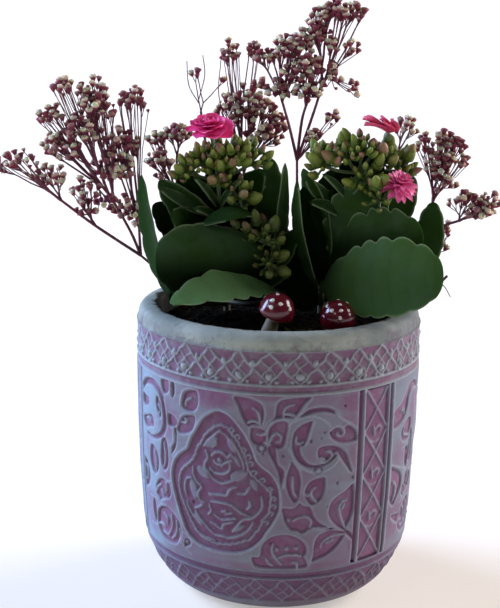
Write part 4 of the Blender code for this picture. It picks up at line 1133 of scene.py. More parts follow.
def makeLipStone():
    # bare greenish-grey stone, blotched, nearly black on its inner wall, and darker towards the right as
    # painted shade
    material, nodes, shader = newMaterial("lip stoneware", Specular_IOR_Level=0.1)
    where = nodes.objectPlace()
    speckle = nodes.group(grain, Fine=1100.0, Coarse=70.0, Contrast=1.4)
    flat = nodes.fill("ShaderNodeVectorMath", {0: where, 1: (1, 1, 0)}, operation="MULTIPLY")
    level = nodes.fill("ShaderNodeVectorMath", {0: flat.outputs[0]}, operation="LENGTH").outputs["Value"]
    blotch = nodes.ramp(nodes.noise(where, 55.0, 5.0, 0.7), 0.36, 0.66)
    stained = nodes.ramp(nodes.noise(where, 26.0, 4.0, 0.75), 0.46, 0.62)
    uneven = nodes.ramp(nodes.noise(where, 120.0, 5.0, 0.8), 0.3, 0.7, -0.002, 0.002)
    raggedRadius = nodes.math("ADD", level, uneven)
    colour = nodes.layers(
        (0.31, 0.335, 0.29),
        (blotch, (0.225, 0.25, 0.22)),
        (nodes.times(stained, 0.4), (0.102, 0.114, 0.102)),
        # darker towards the right side: painted shade
        (nodes.ramp(nodes.placeAlong("X"), 0.02, 0.065, 0.0, 0.72), (0.096, 0.12, 0.126)),
        # nearly black on the inner wall, out to a ragged radius
        (nodes.ramp(raggedRadius, 0.0606, 0.0625, 0.97, 0.0), (0.007, 0.007, 0.004)),
        (nodes.ramp(raggedRadius, 0.0688, 0.0712, 0.0, 0.6), (0.12, 0.084, 0.114)),
        (nodes.ramp(speckle.outputs["Blotch"], 0.66, 0.85, 0.0, 0.7), (0.042, 0.036, 0.036)),
    )
    bump = nodes.bump(speckle.outputs["Height"], 0.5, 0.0005)
    nodes.dress(shader, colour, nodes.ramp(blotch, 0.0, 1.0, 0.6, 0.85), bump)
    return material


washColour = (0.165, 0.182, 0.218)
mauve = (0.17, 0.058, 0.134)
stoneware = {
    "pot_field": makeStoneware("washed stoneware", washColour, mauve, 0.5, 0.5),
    "pot_band": makeStoneware("washed stoneware band", (0.2, 0.228, 0.24), (0.165, 0.07, 0.132), 0.75, 0.3),
    # the foot's wash and pink are darker copies of the field's, as painted shade
    "pot_foot": makeStoneware("washed stoneware foot in painted shade", (0.125, 0.125, 0.16), (0.12, 0.046, 0.108), 0.6,
                              0.5),
    "pot_lip": makeLipStone(),
}
makePot(stoneware)
print("pot carved")

# The kalanchoes' leaves and stems. A leaf is its midrib's foot and tip, its width, where its upper
# side looks, how far the midrib bows and the edges lift, its lobes, its tone, and its outline; a tone
# below zero darkens it towards black as painted shade, and one above one lightens it as painted light.

leafForm = {
    "thickness": 1.9,
    "edgeThickness": 0.55,
    "lobeDepth": 0.13,
    "petiole": 0.09,  # share of the length that is stalk
    "petioleWidth": 0.15,
    "across": 15,
    "stationsPerLobe": 9,
    "ripple": 0.25,
    "quilt": 0.05,
    "veinDepth": 0.13,
    "ribHeight": 0.1,
    "petioleExtra": 1.2,  # how much thicker the stalk is
}
# how a leaf's outline fills: where it is broadest, and how blunt its ends are
oval = (0.85, 0.55)
broad = (0.72, 0.5)
leftStems = [
    ([(-25, 6, 106), (-26, 6, 140), (-28, 5, 165), (-30, 4.5, 186)], 3.8, 2.6),
    ([(-26, 6, 141), (-15, 0, 147), (-4, -8, 157), (-1, -12, 167)], 3.2, 2.4),
    ([(-26, 6, 139), (-39, -4, 141), (-51, -14, 143)], 2.8, 2.2),
    ([(-26, 6, 140), (-12, -5, 142), (3, -11, 148)], 2.8, 2.2),
]
leftLeaves = [
    ((-4, -9, 168), (-58, -33, 168), 38, (-0.12, -0.96, 0.25), 3, -0.42, 4, 0.6, (1.3, 0.42), 0.95, 0.8),
    ((3, -11, 148), (-50, -46, 151), 23, (0.1, -0.5, 0.86), 7, 0.2, 5, 1.6, (1.1, 0.62), 0, 2.6),
    ((-51, -14, 143), (-66, -15, 206), 24, (-0.9, -0.42, 0.12), 2, 0.18, 6, -0.2, (0.78, 0.55), 0, 1),
    ((-30, 4, 183), (-59, -6, 199), 12, (0.1, -0.45, 0.88), -2, 0.2, 3, 0.9, oval),
    ((-29, 5, 172), (-60, 8, 200), 18, (-0.7, -0.5, 0.5), 2, 0.15, 4, 0.2, oval),
    ((-28, 4, 170), (-52, -20, 187), 24, (-0.2, -0.75, 0.6), -2, 0.15, 5, 0.1, oval),
    ((-29, 4, 183), (-20, -22, 187), 32, (0.0, -0.3, 0.95), 5, -0.5, 4, 0.15, broad),
    ((-29, 6, 182), (-4, 19, 205), 13, (0.1, -0.6, 0.75), 2, 0.2, 3, 0.8, oval),
    ((-3, -5, 160), (-5, 16, 211), 18, (0.1, -0.92, 0.3), -3, 0.15, 5, 0.7, oval),
    ((-3, -8, 158), (2, 6, 210), 15, (0.9, -0.35, 0.15), 1, 0.15, 4, 0.5, oval),
    ((-28, 6, 160), (-56, 20, 172), 26, (-0.3, 0.3, 0.88), 4, 0.15, 5, 0.4, oval),
    ((-26, 7, 156), (-10, 46, 158), 22, (0.1, 0.4, 0.9), 4, 0.15, 5, 0.6, oval),
    ((-29, 6, 178), (-46, 24, 192), 16, (-0.2, 0.5, 0.85), 2, 0.15, 3, 0.5, oval),
    ((-28, 6, 174), (-14, 28, 190), 18, (0.1, 0.5, 0.85), 2, 0.15, 3, 0.3, oval),
]
# small leaves deep in the plant and round its flower stalk, which the solids leave out; the ones with tones
# below zero are darkened towards black as painted shade
leftSmallLeaves = [
    ((-30, 4, 186), (-42, -5, 204), 5, (0.5, -0.7, 0.5), 2, 0.2, 2, 0.9, oval),
    ((-30, 4, 187), (-19, -5, 203), 5, (-0.4, -0.7, 0.5), 2, 0.2, 2, 0.9, oval),
    ((-29, 4, 178), (-42, -8, 189), 7, (0.3, -0.6, 0.75), 3, 0.15, 2, 0.4, oval),
    ((-29, 4, 180), (-14, -6, 192), 7, (-0.3, -0.6, 0.75), 2, 0.15, 3, 0.5, oval),
    ((-27, 6, 152), (-50, 2, 172), 14, (-0.2, -0.8, 0.5), 3, 0.15, 4, 0.0, oval),
    ((-27, 6, 150), (-42, -16, 162), 14, (0.0, -0.8, 0.6), 3, 0.15, 4, 0.0, oval),
    ((-26, 6, 148), (-12, 4, 170), 15, (-0.2, -0.9, 0.4), 2, 0.15, 4, 0.0, oval),
    ((-4, -6, 158), (8, 1, 178), 12, (-0.2, -0.9, 0.4), 2, 0.15, 4, 0.0, oval),
    ((-14, 0, 147), (6, -12, 160), 12, (0.0, -0.8, 0.6), 2, 0.15, 4, 0.0, oval),
    ((-30, 5, 178), (-27, 13, 209), 26, (0.0, -0.95, 0.3), 2, 0.15, 4, -0.9, oval),
    ((-28, 6, 160), (-63, 10, 188), 22, (-0.2, -0.85, 0.45), 2, 0.15, 4, -1.0, oval),
    ((-28, 6, 166), (-52, 15, 198), 22, (-0.2, -0.9, 0.4), 2, 0.15, 4, -0.8, oval),
    ((-29, 6, 170), (-34, 17, 204), 22, (0.0, -0.95, 0.3), 2, 0.15, 4, -0.8, oval),
    ((-28, 6, 166), (-10, 15, 200), 24, (0.2, -0.9, 0.4), 2, 0.15, 4, -0.8, oval),
    ((-26, 6, 152), (4, 3, 178), 22, (0.1, -0.95, 0.3), 2, 0.15, 4, -1.0, oval),
    ((-24, 6, 150), (14, 14, 170), 28, (0.1, -0.95, 0.3), 2, 0.15, 4, -1.0, oval),
    ((-26, 6, 146), (-58, -6, 160), 20, (-0.1, -0.95, 0.3), 2, 0.15, 4, -1.0, oval),
    ((-26, 6, 143), (8, 0, 152), 18, (0.1, -0.95, 0.3), 2, 0.15, 4, -1.0, oval),
    ((-29, 6, 176), (-50, 12, 205), 19, (-0.2, -0.9, 0.4), 2, 0.15, 4, -0.7, oval),
    ((-27, 6, 178), (-9, 11, 206), 17, (0.2, -0.9, 0.4), 2, 0.15, 4, 0.0, oval),
]
rightStems = [
    ([(21, 2, 106), (21, 2, 140), (23, 2.5, 164), (34, 3.5, 196)], 3.8, 2.6),
    ([(21, 2, 142), (34, 5, 152), (46, 4, 169), (51, -2, 186)], 3.2, 2.4),
    ([(21, 2, 140), (21, -6, 145), (20, -14, 152.5)], 3.0, 2.4),
    ([(31, 4, 148), (54, 5, 151), (72, 3, 158)], 2.4, 1.8),
]
rightLeaves = [
    ((17, -13, 153), (76, -38, 164), 40, (0.1, -0.86, 0.46), 4, 0.14, 6, 1.2, (1.2, 0.38), 0.25, 1.1),
    ((18, -2, 161), (68, -18, 180), 37, (-0.12, -0.9, 0.42), 3, 0.14, 6, 0.7, (1.1, 0.4), 0.8, 1.5),
    ((24, 2, 168), (52, 0, 207), 28, (-0.3, -0.9, 0.1), 3, 0.12, 5, 0.7, (0.85, 0.5), 0.3, 1.5),
    ((72, 3, 158), (74, -2, 193), 16, (0.1, -0.97, 0.2), -2, 0.1, 4, 0.2, (0.8, 0.5), 0.2, 1.2),
    ((47, 5, 172), (66, 15, 203), 17, (0.3, -0.85, 0.35), 2, 0.15, 4, 0.5, oval),
    ((32, 4, 184), (59, 20, 205), 17, (0, -0.6, 0.78), 2, 0.15, 4, 0.3, oval),
    ((31, 3, 186), (12, 5, 203), 11, (0, -0.5, 0.85), -2, 0.2, 3, 0.6, oval),
    ((23, 2, 156), (11, 9, 207), 20, (-0.8, -0.55, 0.15), -4, 0.15, 4, 0.5, oval),
    ((21, -8, 146), (8, -8, 204), 16, (-0.92, -0.35, 0), 4, 0.15, 4, 0.6, oval),
    ((29, 6, 158), (52, 40, 162), 24, (0.3, 0.4, 0.85), 4, 0.15, 5, 0.5, oval),
    ((28, 7, 154), (20, 49, 156), 22, (0, 0.4, 0.9), 4, 0.15, 5, 0.4, oval),
    ((31, 6, 176), (50, 28, 190), 18, (0.2, 0.5, 0.85), 2, 0.15, 3, 0.6, oval),
    ((31, 6, 180), (22, 32, 196), 16, (0, 0.5, 0.85), 2, 0.15, 3, 0.3, oval),
]
# the same for the right plant: tones below zero are darkened as painted shade
rightSmallLeaves = [
    ((33, 3, 192), (20, -3, 206), 5, (0.4, -0.7, 0.5), 2, 0.2, 2, 0.9, oval),
    ((33, 3, 193), (45, -3, 208), 5, (-0.4, -0.7, 0.5), 2, 0.2, 2, 0.9, oval),
    ((31, 3, 184), (14, -2, 192), 8, (0.2, -0.6, 0.75), 2, 0.15, 3, 0.4, oval),
    ((40, 4, 162), (60, 2, 180), 14, (0.0, -0.9, 0.4), 3, 0.15, 4, 0.0, oval),
    ((21, 2, 144), (8, 2, 156), 12, (-0.1, -0.8, 0.6), 2, 0.15, 3, 0.0, oval),
    ((31, 4, 184), (46, 11, 216), 26, (0.0, -0.95, 0.3), 2, 0.15, 4, -0.9, oval),
    ((22, 3, 148), (6, 4, 176), 22, (-0.1, -0.95, 0.3), 2, 0.15, 4, -1.0, oval),
    ((22, 3, 156), (12, 12, 198), 20, (0.0, -0.95, 0.3), 2, 0.15, 4, -0.8, oval),
    ((26, 4, 170), (26, 16, 206), 22, (0.0, -0.95, 0.3), 2, 0.15, 4, -0.7, oval),
    ((30, 4, 176), (44, 16, 208), 24, (0.0, -0.95, 0.3), 2, 0.15, 4, -0.7, oval),
    ((34, 5, 160), (62, 12, 198), 24, (0.1, -0.95, 0.3), 2, 0.15, 4, -0.8, oval),
    ((22, 2, 143), (52, -4, 156), 20, (0.0, -0.95, 0.3), 2, 0.15, 4, -1.0, oval),
    ((21, 2, 141), (2, -4, 150), 16, (0.0, -0.95, 0.3), 2, 0.15, 4, -1.0, oval),
]


def seatOn(stems, place):
    # the nearest place on the middle line of the plant's stems
    seats = []
    for route, thick, thin in stems:
        for start, end in zip(route, route[1:]):
            start, end = Vector(start), Vector(end)
            share = (Vector(place) - start).dot(end - start) / (end - start).length_squared
            seats.append(start.lerp(end, min(1, max(0, share))))
    return min(seats, key=lambda seat: (seat - Vector(place)).length)


def leafMesh(leaf, stems, seed):
    # places, faces and values of one leaf: rings round its section, from the stalk to the tip
    foot, tip, width, face, arch, cup, lobes, tone, (belly, bluntness) = leaf[:9]
    shade, scallop = leaf[9:] if len(leaf) > 9 else (0.3, 1)
    foot = np.array(seatOn(stems, foot))
    tip = np.array(tip, float)
    along = tip - foot
    length = np.linalg.norm(along)
    along /= length
    side = np.cross(along, face)
    side /= np.linalg.norm(side)
    up = np.cross(side, along)
    draw = np.random.default_rng(seed)

    # the outline: a petiole, then a blade whose half width swells and ends bluntly
    stations = lobes * leafForm["stationsPerLobe"] + 8
    share = 1 - (1 - np.linspace(0, 1, stations)[:, None]) ** 1.25
    share[-1] = 0.9985
    petiole = leafForm["petiole"] * min(1, bluntness * 2 - 0.4)
    blade = np.clip((share - petiole) / (1 - petiole), 0, 1)
    half = np.sin(math.pi * blade ** belly) ** bluntness
    deep, often, start = draw.uniform(0.1, 0.28), draw.uniform(1.0, 1.9), draw.uniform(0, 6)
    phase = share * (lobes + 1) + deep * np.sin(fullTurn * share * often + start)
    fade = smoothStep(blade, 0.03, 0.14) * (1 - smoothStep(blade, 0.93, 0.99))
    half = np.maximum(half, leafForm["petioleWidth"] * (1 - smoothStep(share, 0.8, 0.9)))

    # the section, with the lobes' valleys cut into its edges
    columns = leafForm["across"]
    turn = math.pi * np.arange(2 * columns) / columns
    across = np.cos(turn)
    above = np.sin(turn) > -1e-9
    u = np.sign(across) * np.abs(across) ** 0.8
    aside = np.abs(u)
    lobePhase = phase + 0.12 * np.sign(u) + 0.1 * aside
    valley = 1 - np.abs(np.cos(math.pi * lobePhase)) ** 0.75
    notch = scallop * leafForm["lobeDepth"] * valley * fade * aside ** 3 * (1 - 0.5 * (u > 0))
    reach = width / 2 * half * (1 - notch)
    x = u * reach
    profile = np.sqrt(np.clip(1 - aside ** 2.4, 0, 1))
    edgeThickness = leafForm["edgeThickness"]
    thickness = edgeThickness + (leafForm["thickness"] - edgeThickness) * profile
    thickness = thickness + (1 - smoothStep(share, 0.06, 0.16)) * leafForm["petioleExtra"] * profile
    z = np.sin(turn) * thickness / 2 * np.clip((1 - share) * 14, 0.25, 1)

    # the midrib is a groove above and a rib below, with side veins that reach for the lobes
    distance = np.abs(x)
    middle = np.exp(-(distance / 0.9) ** 2)
    veinPhase = share * (lobes + 1) - aside * 0.55
    branch = np.exp(-((veinPhase - np.round(veinPhase)) * length / (lobes + 1) / 0.75) ** 2)
    branch = branch * smoothStep(aside, 0.05, 0.2) * (1 - smoothStep(aside, 0.75, 0.95))
    vein = np.clip(middle + 0.6 * branch, 0, 1) * (1 - smoothStep(share, 0.9, 1))
    quilt = leafForm["quilt"] * np.cos(fullTurn * veinPhase) * aside * (1 - aside ** 4)
    z = z - vein * np.where(above, leafForm["veinDepth"], leafForm["ribHeight"]) - quilt

    bow = arch * 4 * share * (1 - share)
    lift = cup * distance ** 1.5 / math.sqrt(width / 2)
    ripple = leafForm["ripple"] * np.sin(fullTurn * (phase * 0.5 + draw.uniform(0, 1)) + 1.4 * u)
    ripple = ripple * aside ** 2 * fade * min(1, width / 24)
    wander = draw.uniform(-1, 1) * width * 0.02 * np.sin(math.pi * share)
    offsets = ((along, share * length), (side, x + wander), (up, z + bow + lift + ripple))
    places = foot + sum(way * offset[..., None] for way, offset in offsets)
    edge = np.clip(reach - distance, 0, 9) + 9 * (1 - fade)
    lowness = smoothStep((places[..., 2].max() - places[..., 2]) / np.ptp(places[..., 2]), 0.1, 0.65)
    values = {
        "edge": np.exp(-(edge / 0.7) ** 2) * fade,
        "vein": vein,
        "under": np.broadcast_to(~above, vein.shape),
        "leafToneLightAndShade": np.full(vein.shape, tone),
        "shaded": np.maximum(shade * lowness, 0.8 * (1 - smoothStep(share, 0.05, 0.3))),
    }
    values = {name: np.append(value.ravel(), value.ravel()[[0, -1]]) for name, value in values.items()}
    places = np.concatenate([places.reshape(-1, 3), [foot, foot + along * length]])
    return places, turned(tubeFaces(stations, 2 * columns)), values


def makeLeaves(name, leaves, stems, material, node):
    parts = [leafMesh(leaf, stems, index + len(name)) for index, leaf in enumerate(leaves)]
    places, faces, values = joined(parts)
    finishPiece(newPiece(name, places, faces, **values), material, "leaf", node)


def taperedRun(route, thick, thin, steps=6):
    points = smoothCurve(route, steps)
    return points, np.linspace(thick / 2, thin / 2, len(points))


def makeLeafGreen():
    # deep green to pale glaucous by each leaf's tone, with a thin light edge; tones below zero go towards
    # black as painted shade, tones above one go lighter as painted light, and the shaded value adds painted
    # shade
    material, nodes, shader = newMaterial(
        "kalanchoe leaf", Specular_IOR_Level=0.02, Subsurface_Weight=0.04, Subsurface_Scale=1.0,
        Subsurface_Radius=(0.001, 0.002, 0.0006),
    )
    where = nodes.objectPlace()
    fine = nodes.group(grain, Fine=900.0, Coarse=55.0, Contrast=1.2)
    tone = nodes.attribute("leafToneLightAndShade")
    mottle = nodes.ramp(fine.outputs["Blotch"], 0.25, 0.8)
    deep = nodes.blend(mottle, (0.006, 0.024, 0.002), (0.01, 0.032, 0.004))
    pale = nodes.blend(mottle, (0.03, 0.074, 0.012), (0.042, 0.09, 0.02))
    patches = nodes.ramp(nodes.noise(where, 32.0, 4.0, 0.65), 0.4, 0.66)
    colour = nodes.layers(
        nodes.blend(tone, deep, pale),
        (nodes.times(patches, nodes.ramp(tone, 0.0, 1.0, 0.06, 0.62)), (0.056, 0.102, 0.059)),
        # tones above one: painted light
        (nodes.ramp(tone, 1.0, 1.6), (0.085, 0.165, 0.06)),
        (nodes.times(nodes.attribute("vein"), 0.2), (0.007, 0.019, 0.004)),
        (nodes.attribute("under"), nodes.blend(tone, (0.014, 0.037, 0.006), (0.037, 0.081, 0.025))),
        (nodes.times(nodes.attribute("edge"), nodes.ramp(tone, -0.4, 0.4, 0.1, 1.0)), (0.17, 0.23, 0.12)),
        # tones below zero: painted shade
        (nodes.ramp(tone, -1.0, -0.2, 0.9, 0.0), (0.002, 0.007, 0.001)),
        (nodes.attribute("shaded"), (0.001, 0.004, 0.0005)),
    )
    cells = nodes.noise(where, 2600.0, 2.0, 0.5)
    height = nodes.math("ADD", nodes.times(cells, 0.4), fine.outputs["Height"])
    roughness = nodes.ramp(fine.outputs["Blotch"], 0.2, 0.8, 0.6, 0.78)
    nodes.dress(shader, colour, roughness, nodes.bump(height, 0.18, 0.0002))
    return material


leafGreen = makeLeafGreen()
woodyFoot = lowDown(0.135, 0.165, 1.0, (0.062, 0.053, 0.025))
stemGreen = grainySkin("green stem", (1200.0, 140.0, 1.5), (0.056, 0.099, 0.022), (0.093, 0.13, 0.037),
                       (0.4, 0.6), (0.3, 0.0004), woodyFoot)
for plant, stems, leaves in (("left", leftStems, leftLeaves + leftSmallLeaves),
                             ("right", rightStems, rightLeaves + rightSmallLeaves)):
    makeLeaves(plant + "_leaves", leaves, stems, leafGreen, plant + "_kalanchoe")
    runs = [taperedRun(*stem) for stem in stems]
    stalks = grown(plant + "_stems", lineMesh(runs), tubes, Sides=12, Material=stemGreen)
    finishPiece(stalks, stemGreen, "leaf", plant + "_kalanchoe")
print("leaves grown")

# Flower heads: a stalk that forks to clusters of closed buds, and to a double bloom on some

budForm = {
    "width": 4.0,
    "length": 6.8,
    "stalk": 2.2,
    "perCluster": 21,
    "spread": 7.2,  # how far a cluster's buds stand from its middle
    "seed": 11,
    "columns": 8,
    "sizes": (1.45, 1.1, 0.85, 0.75, 0.65, 0.55),
    # share of the length and of the half width, for the closed petals
    "profile": [(0.0, 0.3), (0.1, 0.66), (0.28, 0.95), (0.5, 1.0), (0.72, 0.82), (0.88, 0.5), (0.97, 0.2)],
    # the same for the calyx, with how far its lobes reach up
    "calyx": [(0.02, 0.4, 0), (0.2, 0.92, 0), (0.34, 1.02, 0.16)],
    # the cup under a bloom: place along its axis and radius
    "cup": [(-4.2, 0.9), (-3, 1.9), (-1.5, 2.5), (0.4, 2.3)],
}
# stem's end, fork, clusters (middle, facing, share of buds) and bloom (middle, axis)
heads = {
    "left_flower_head": {
        "start": (-30, 4.5, 186.3),
        "fork": (-30.5, 3.5, 202),
        "clusters": [
            ((-45, -4, 208), (-0.5, -0.3, 0.8), 1.0), ((-37, -2, 212), (-0.2, -0.4, 0.9), 0.9),
            ((-29, 0, 213), (0, -0.3, 0.9), 1.0), ((-22, 1, 214), (0.2, -0.2, 0.9), 1.0),
            ((-29, -3, 205), (0, -0.6, 0.6), 0.6), ((-14, 3, 212), (0.4, -0.2, 0.8), 1.0),
            ((-19, -5, 196), (0.3, -0.6, 0.6), 0.55),
        ],
        "bloom": ((-34, 0, 226), (0.02, -0.34, 0.94)),
    },
    "left_side_flower_head": {
        "start": (-0.9, -12.2, 167.4),
        "fork": (-0.6, -14, 172.5),
        "clusters": [
            ((-13, -15, 178), (-0.5, -0.6, 0.6), 0.35), ((-6, -16, 177), (0, -0.6, 0.7), 0.5),
            ((-5, -19, 165), (0, -0.9, 0), 0.6),
        ],
        "bloom": None,
    },
    "right_flower_head": {
        "start": (34.2, 3.5, 196.3),
        "fork": (37.5, 3, 206),
        "clusters": [
            ((20, 0, 212), (-0.4, -0.3, 0.85), 1.0), ((31, -1, 216), (-0.3, -0.3, 0.9), 0.9),
            ((39, -4, 219), (0, -0.5, 0.85), 1.1), ((50, 2, 214), (0.4, -0.2, 0.85), 0.9),
            ((59, 5, 210), (0.5, -0.2, 0.8), 0.9), ((42, -6, 205), (0.1, -0.7, 0.5), 0.6),
        ],
        "bloom": ((52, 0, 225), (0.55, -0.05, 0.83)),
    },
    "right_side_flower_head": {
        "start": (51.1, -2.1, 186.3),
        "fork": (51.5, -5, 194),
        "clusters": [((47, -9, 197), (-0.2, -0.6, 0.7), 0.8)],
        "bloom": ((56, -11, 201), (0.25, -0.45, 0.85)),
    },
}


def budShape(name, plump, lobeTurn, open):
    # a plump closed bud whose petals are wrapped in a twist, held in a four-lobed calyx
    columns = budForm["columns"]
    turn = fullTurn * np.arange(columns) / columns
    half, length = budForm["width"] / 2, budForm["length"]

    share, radius = np.array(budForm["profile"]).T[:, :, None]
    seam = 1 - 0.13 * share * (0.5 - 0.5 * np.cos(4 * (turn + lobeTurn)))
    body = ringPlaces(half * radius * seam * plump, share * length, turn + share * 0.9)
    body = np.concatenate([body, [[0, 0, 0], [0, 0, length * 1.02]]])
    rise = np.append(np.repeat(share, columns), [0, 1])

    share, radius, lobe = np.array(budForm["calyx"]).T[:, :, None]
    point = 0.5 + 0.5 * np.cos(4 * turn)
    tall = share + lobe * point
    rims = np.concatenate([radius + 0.06 + open * share * point, np.full((1, columns), 0.9)])
    calyx = ringPlaces(half * rims, np.concatenate([tall, [0.32 + 0.16 * point]]) * length, turn)
    calyxRise = np.append(tall, np.full(columns, 0.4))
    places, faces, values = joined([
        (body, tubeFaces(len(budForm["profile"]), columns), {"rise": rise, "sepal": np.zeros(len(body))}),
        (calyx, ringFaces(len(rims), columns, True), {"rise": calyxRise, "sepal": np.ones(len(calyx))}),
    ])
    return newShape(name, places, faces, **values)


def domeDirections(count, facing, spread=1.2):
    turn = upward.rotation_difference(Vector(facing).normalized())
    for index in range(count):
        height = 1 - spread * index / max(1, count - 1)
        flat = math.sqrt(max(0, 1 - height * height))
        angle = index * goldenAngle
        yield turn @ Vector((flat * math.cos(angle), flat * math.sin(angle), height))


def clusterBuds(centre, facing, share, draw):
    # where a cluster's buds sit: each on its own short stalk, small ones between large
    spots = []
    runs = []
    centre = Vector(centre)
    facing = Vector(facing).normalized()
    base = centre - facing * 3.5
    for axis in domeDirections(round(budForm["perCluster"] * share), facing):
        size = draw.choice(budForm["sizes"])
        reach = budForm["spread"] * draw.uniform(0.5, 0.95)
        seat = centre + axis * reach - facing * 2.5
        if any((seat - other[0]).length < budForm["width"] * 0.42 * (size + other[2]) for other in spots):
            seat = centre + axis * (reach * 1.25) - facing * 2.5
            size *= 0.75
        lean = (axis * 0.8 + facing * 0.5 + upward * 0.35).normalized()
        spots.append((seat, lean, size))
        runs.append(([base, base.lerp(seat, 0.55) + facing * 0.6, seat + lean * 0.3], [0.8, 0.62, 0.6]))
    return spots, runs


def makeHead(name, head, shapes, material, stalkMaterial):
    draw = random.Random(name + str(budForm["seed"]))
    fork = Vector(head["fork"])
    start = Vector(head["start"])
    thick = budForm["stalk"] / 2
    runs = [([start, start.lerp(fork, 0.5), fork], [thick * 1.1, thick, thick])]
    spots = []
    for centre, facing, share in head["clusters"]:
        budSpots, budRuns = clusterBuds(centre, facing, share, draw)
        spots += budSpots
        runs += budRuns
        base = budRuns[0][0][0]
        bend = fork.lerp(base, 0.5) - upward * 0.8
        runs.append((smoothCurve([fork, bend, base], 4), np.linspace(thick * 0.8, 0.85, 9)))
    if head["bloom"]:
        centre, axis = Vector(head["bloom"][0]), Vector(head["bloom"][1]).normalized()
        route = smoothCurve([fork, fork.lerp(centre, 0.55), centre - axis * 1.5], 4)
        runs.append((route, np.linspace(0.95, 0.8, 9)))
        runs.append(([centre + axis * along for along, radius in budForm["cup"]],
                     [radius for along, radius in budForm["cup"]]))
    stalks = grown(name + "_stalks", lineMesh(runs), tubes, Sides=7, Material=stalkMaterial)
    finishPiece(stalks, stalkMaterial, "bud", name)
    seed = len(name)
    buds = grown(name + "_buds", pointMesh(spots), scatter, Shapes=shapes, Seed=seed, Material=material)
    finishPiece(buds, material, "bud", name)


def budLayers(nodes):
    # flushed with pinkish brown at the tip, and more so on some buds; the calyx is dark, and the low buds
    # are darkened as painted shade
    rise, tone = nodes.attribute("rise"), nodes.attribute("tone")
    start = nodes.math("SUBTRACT", 0.75, nodes.times(tone, 0.45))
    mask = nodes.math("DIVIDE", nodes.math("SUBTRACT", rise, start), 0.3, clamp=True)
    mask = nodes.times(mask, nodes.ramp(tone, 0.45, 0.95, 0.05, 0.9), clamp=True)
    return [
        (nodes.ramp(rise, 0.4, 0.95, 0.0, 0.7), (0.22, 0.27, 0.045)),
        (mask, nodes.blend(tone, (0.231, 0.231, 0.068), (0.286, 0.116, 0.102))),
        (nodes.times(nodes.attribute("sepal"), 0.75), (0.051, 0.102, 0.01)),
        # low buds darkened: painted shade
        *lowDown(0.185, 0.206, 0.6, (0.006, 0.012, 0.002))(nodes),
    ]


budSkin = grainySkin("kalanchoe bud", (1500.0, 260.0, 1.4), (0.07, 0.105, 0.012), (0.13, 0.17, 0.03),
                     (0.38, 0.55), (0.3, 0.0003), budLayers, Subsurface_Weight=0.08,
                     Subsurface_Scale=0.002, Specular_IOR_Level=0.2)
budSet = shapeSet("buds", [
    budShape("bud_plain", 1.0, 0, 0.05), budShape("bud_round", 1.12, 0.3, 0.2),
    budShape("bud_slim", 0.88, 0.1, 0.1),
])
for name, head in heads.items():
    makeHead(name, head, budSet, budSkin, stemGreen)
discard(budSet)
print("buds set")

# Double blooms: rings of petals, each a bent sheet with a thin edge and fine lines along it

bloomMesh = (9, 16)  # rows along a petal, and places round its section
bloomForms = {
    # rings are: petals, lean over the calyx in degrees, length and width against the first ring's;
    # sweep is how far round the petals stand, in radians
    "left_bloom": {
        "seat": ((-34, 0, 226), (0.02, -0.34, 0.94)),
        "rings": [(7, 3, 1.0, 1.05), (7, 13, 0.9, 1.0), (6, 27, 0.68, 0.9), (5, 48, 0.42, 0.7),
                  (4, 66, 0.28, 0.5)],
        "length": 11.2, "width": 8.6, "droop": 0.08, "cup": 0.45, "pointed": 0.0, "seed": 3, "sweep": 6.28,
    },
    "right_bloom": {
        "seat": ((52, 0, 225), (0.55, -0.05, 0.83)),
        "rings": [(3, 2, 1.0, 1.0), (3, 26, 0.6, 0.8), (2, 60, 0.4, 0.7)],
        "length": 14.5, "width": 9.5, "droop": 0.25, "cup": 1.1, "pointed": 0.45, "seed": 5, "sweep": 1.5,
    },
    "right_side_bloom": {
        "seat": ((56, -11, 201), (0.25, -0.45, 0.85)),
        "rings": [(12, -6, 1.0, 1.0), (12, 14, 0.95, 0.9), (10, 34, 0.82, 0.85), (8, 54, 0.66, 0.8),
                  (6, 72, 0.5, 0.7)],
        "length": 8.8, "width": 3.5, "droop": 0.3, "cup": 0.5, "pointed": 0.35, "seed": 7, "sweep": 6.28,
    },
}


def petalMesh(form, lean, turn, length, width, draw):
    rows, columns = bloomMesh
    share = np.linspace(0, 1, rows)[:, None]
    around = fullTurn * np.arange(columns) / columns
    u, above = np.cos(around), np.sin(around)
    body = np.sin(math.pi * (0.12 + (0.66 + 0.22 * form["pointed"]) * share) ** 1.25)
    tip = np.sqrt(np.clip(1 - np.clip((share - 0.7) / 0.31, 0, 1) ** 2, 0, 1))
    tip = tip * (1 - form["pointed"] * np.clip((share - 0.45) / 0.55, 0, 1) * 0.7)
    x = u * width / 2 * np.clip((0.25 + 0.75 * body) * 1.1, 0, 1) * np.clip(tip, 0.04, 1)
    reach = length * share
    droop = form["droop"] * draw.uniform(0.6, 1.5)
    z = -droop * reach * share ** 1.6 * 0.6 + form["cup"] * u ** 2 * width * 0.16
    z = z + 0.25 * np.sin(share * 7 + u * 2.5 + draw.uniform(0, 6)) * share
    z = z + above * (0.34 - 0.2 * share) * 0.6 - 0.07 * np.cos(u * 9) * share
    places = np.stack(np.broadcast_arrays(x, reach, z), 2).reshape(-1, 3)
    places = np.concatenate([places, [[0, 0, 0], [0, length * 1.01, places[-1, 2]]]])
    matrix = (
        Matrix.Rotation(turn, 3, "Z")
        @ Matrix.Rotation(lean + draw.uniform(-0.1, 0.1), 3, "X")
        @ Matrix.Rotation(draw.uniform(0.08, 0.28), 3, "Y")
    )
    values = {
        "across": np.append(np.tile(u, rows), [0, 0]),
        "along": np.append(np.repeat(share, columns), [0, 1]),
    }
    return places @ np.array(matrix).T, turned(tubeFaces(rows, columns)), values


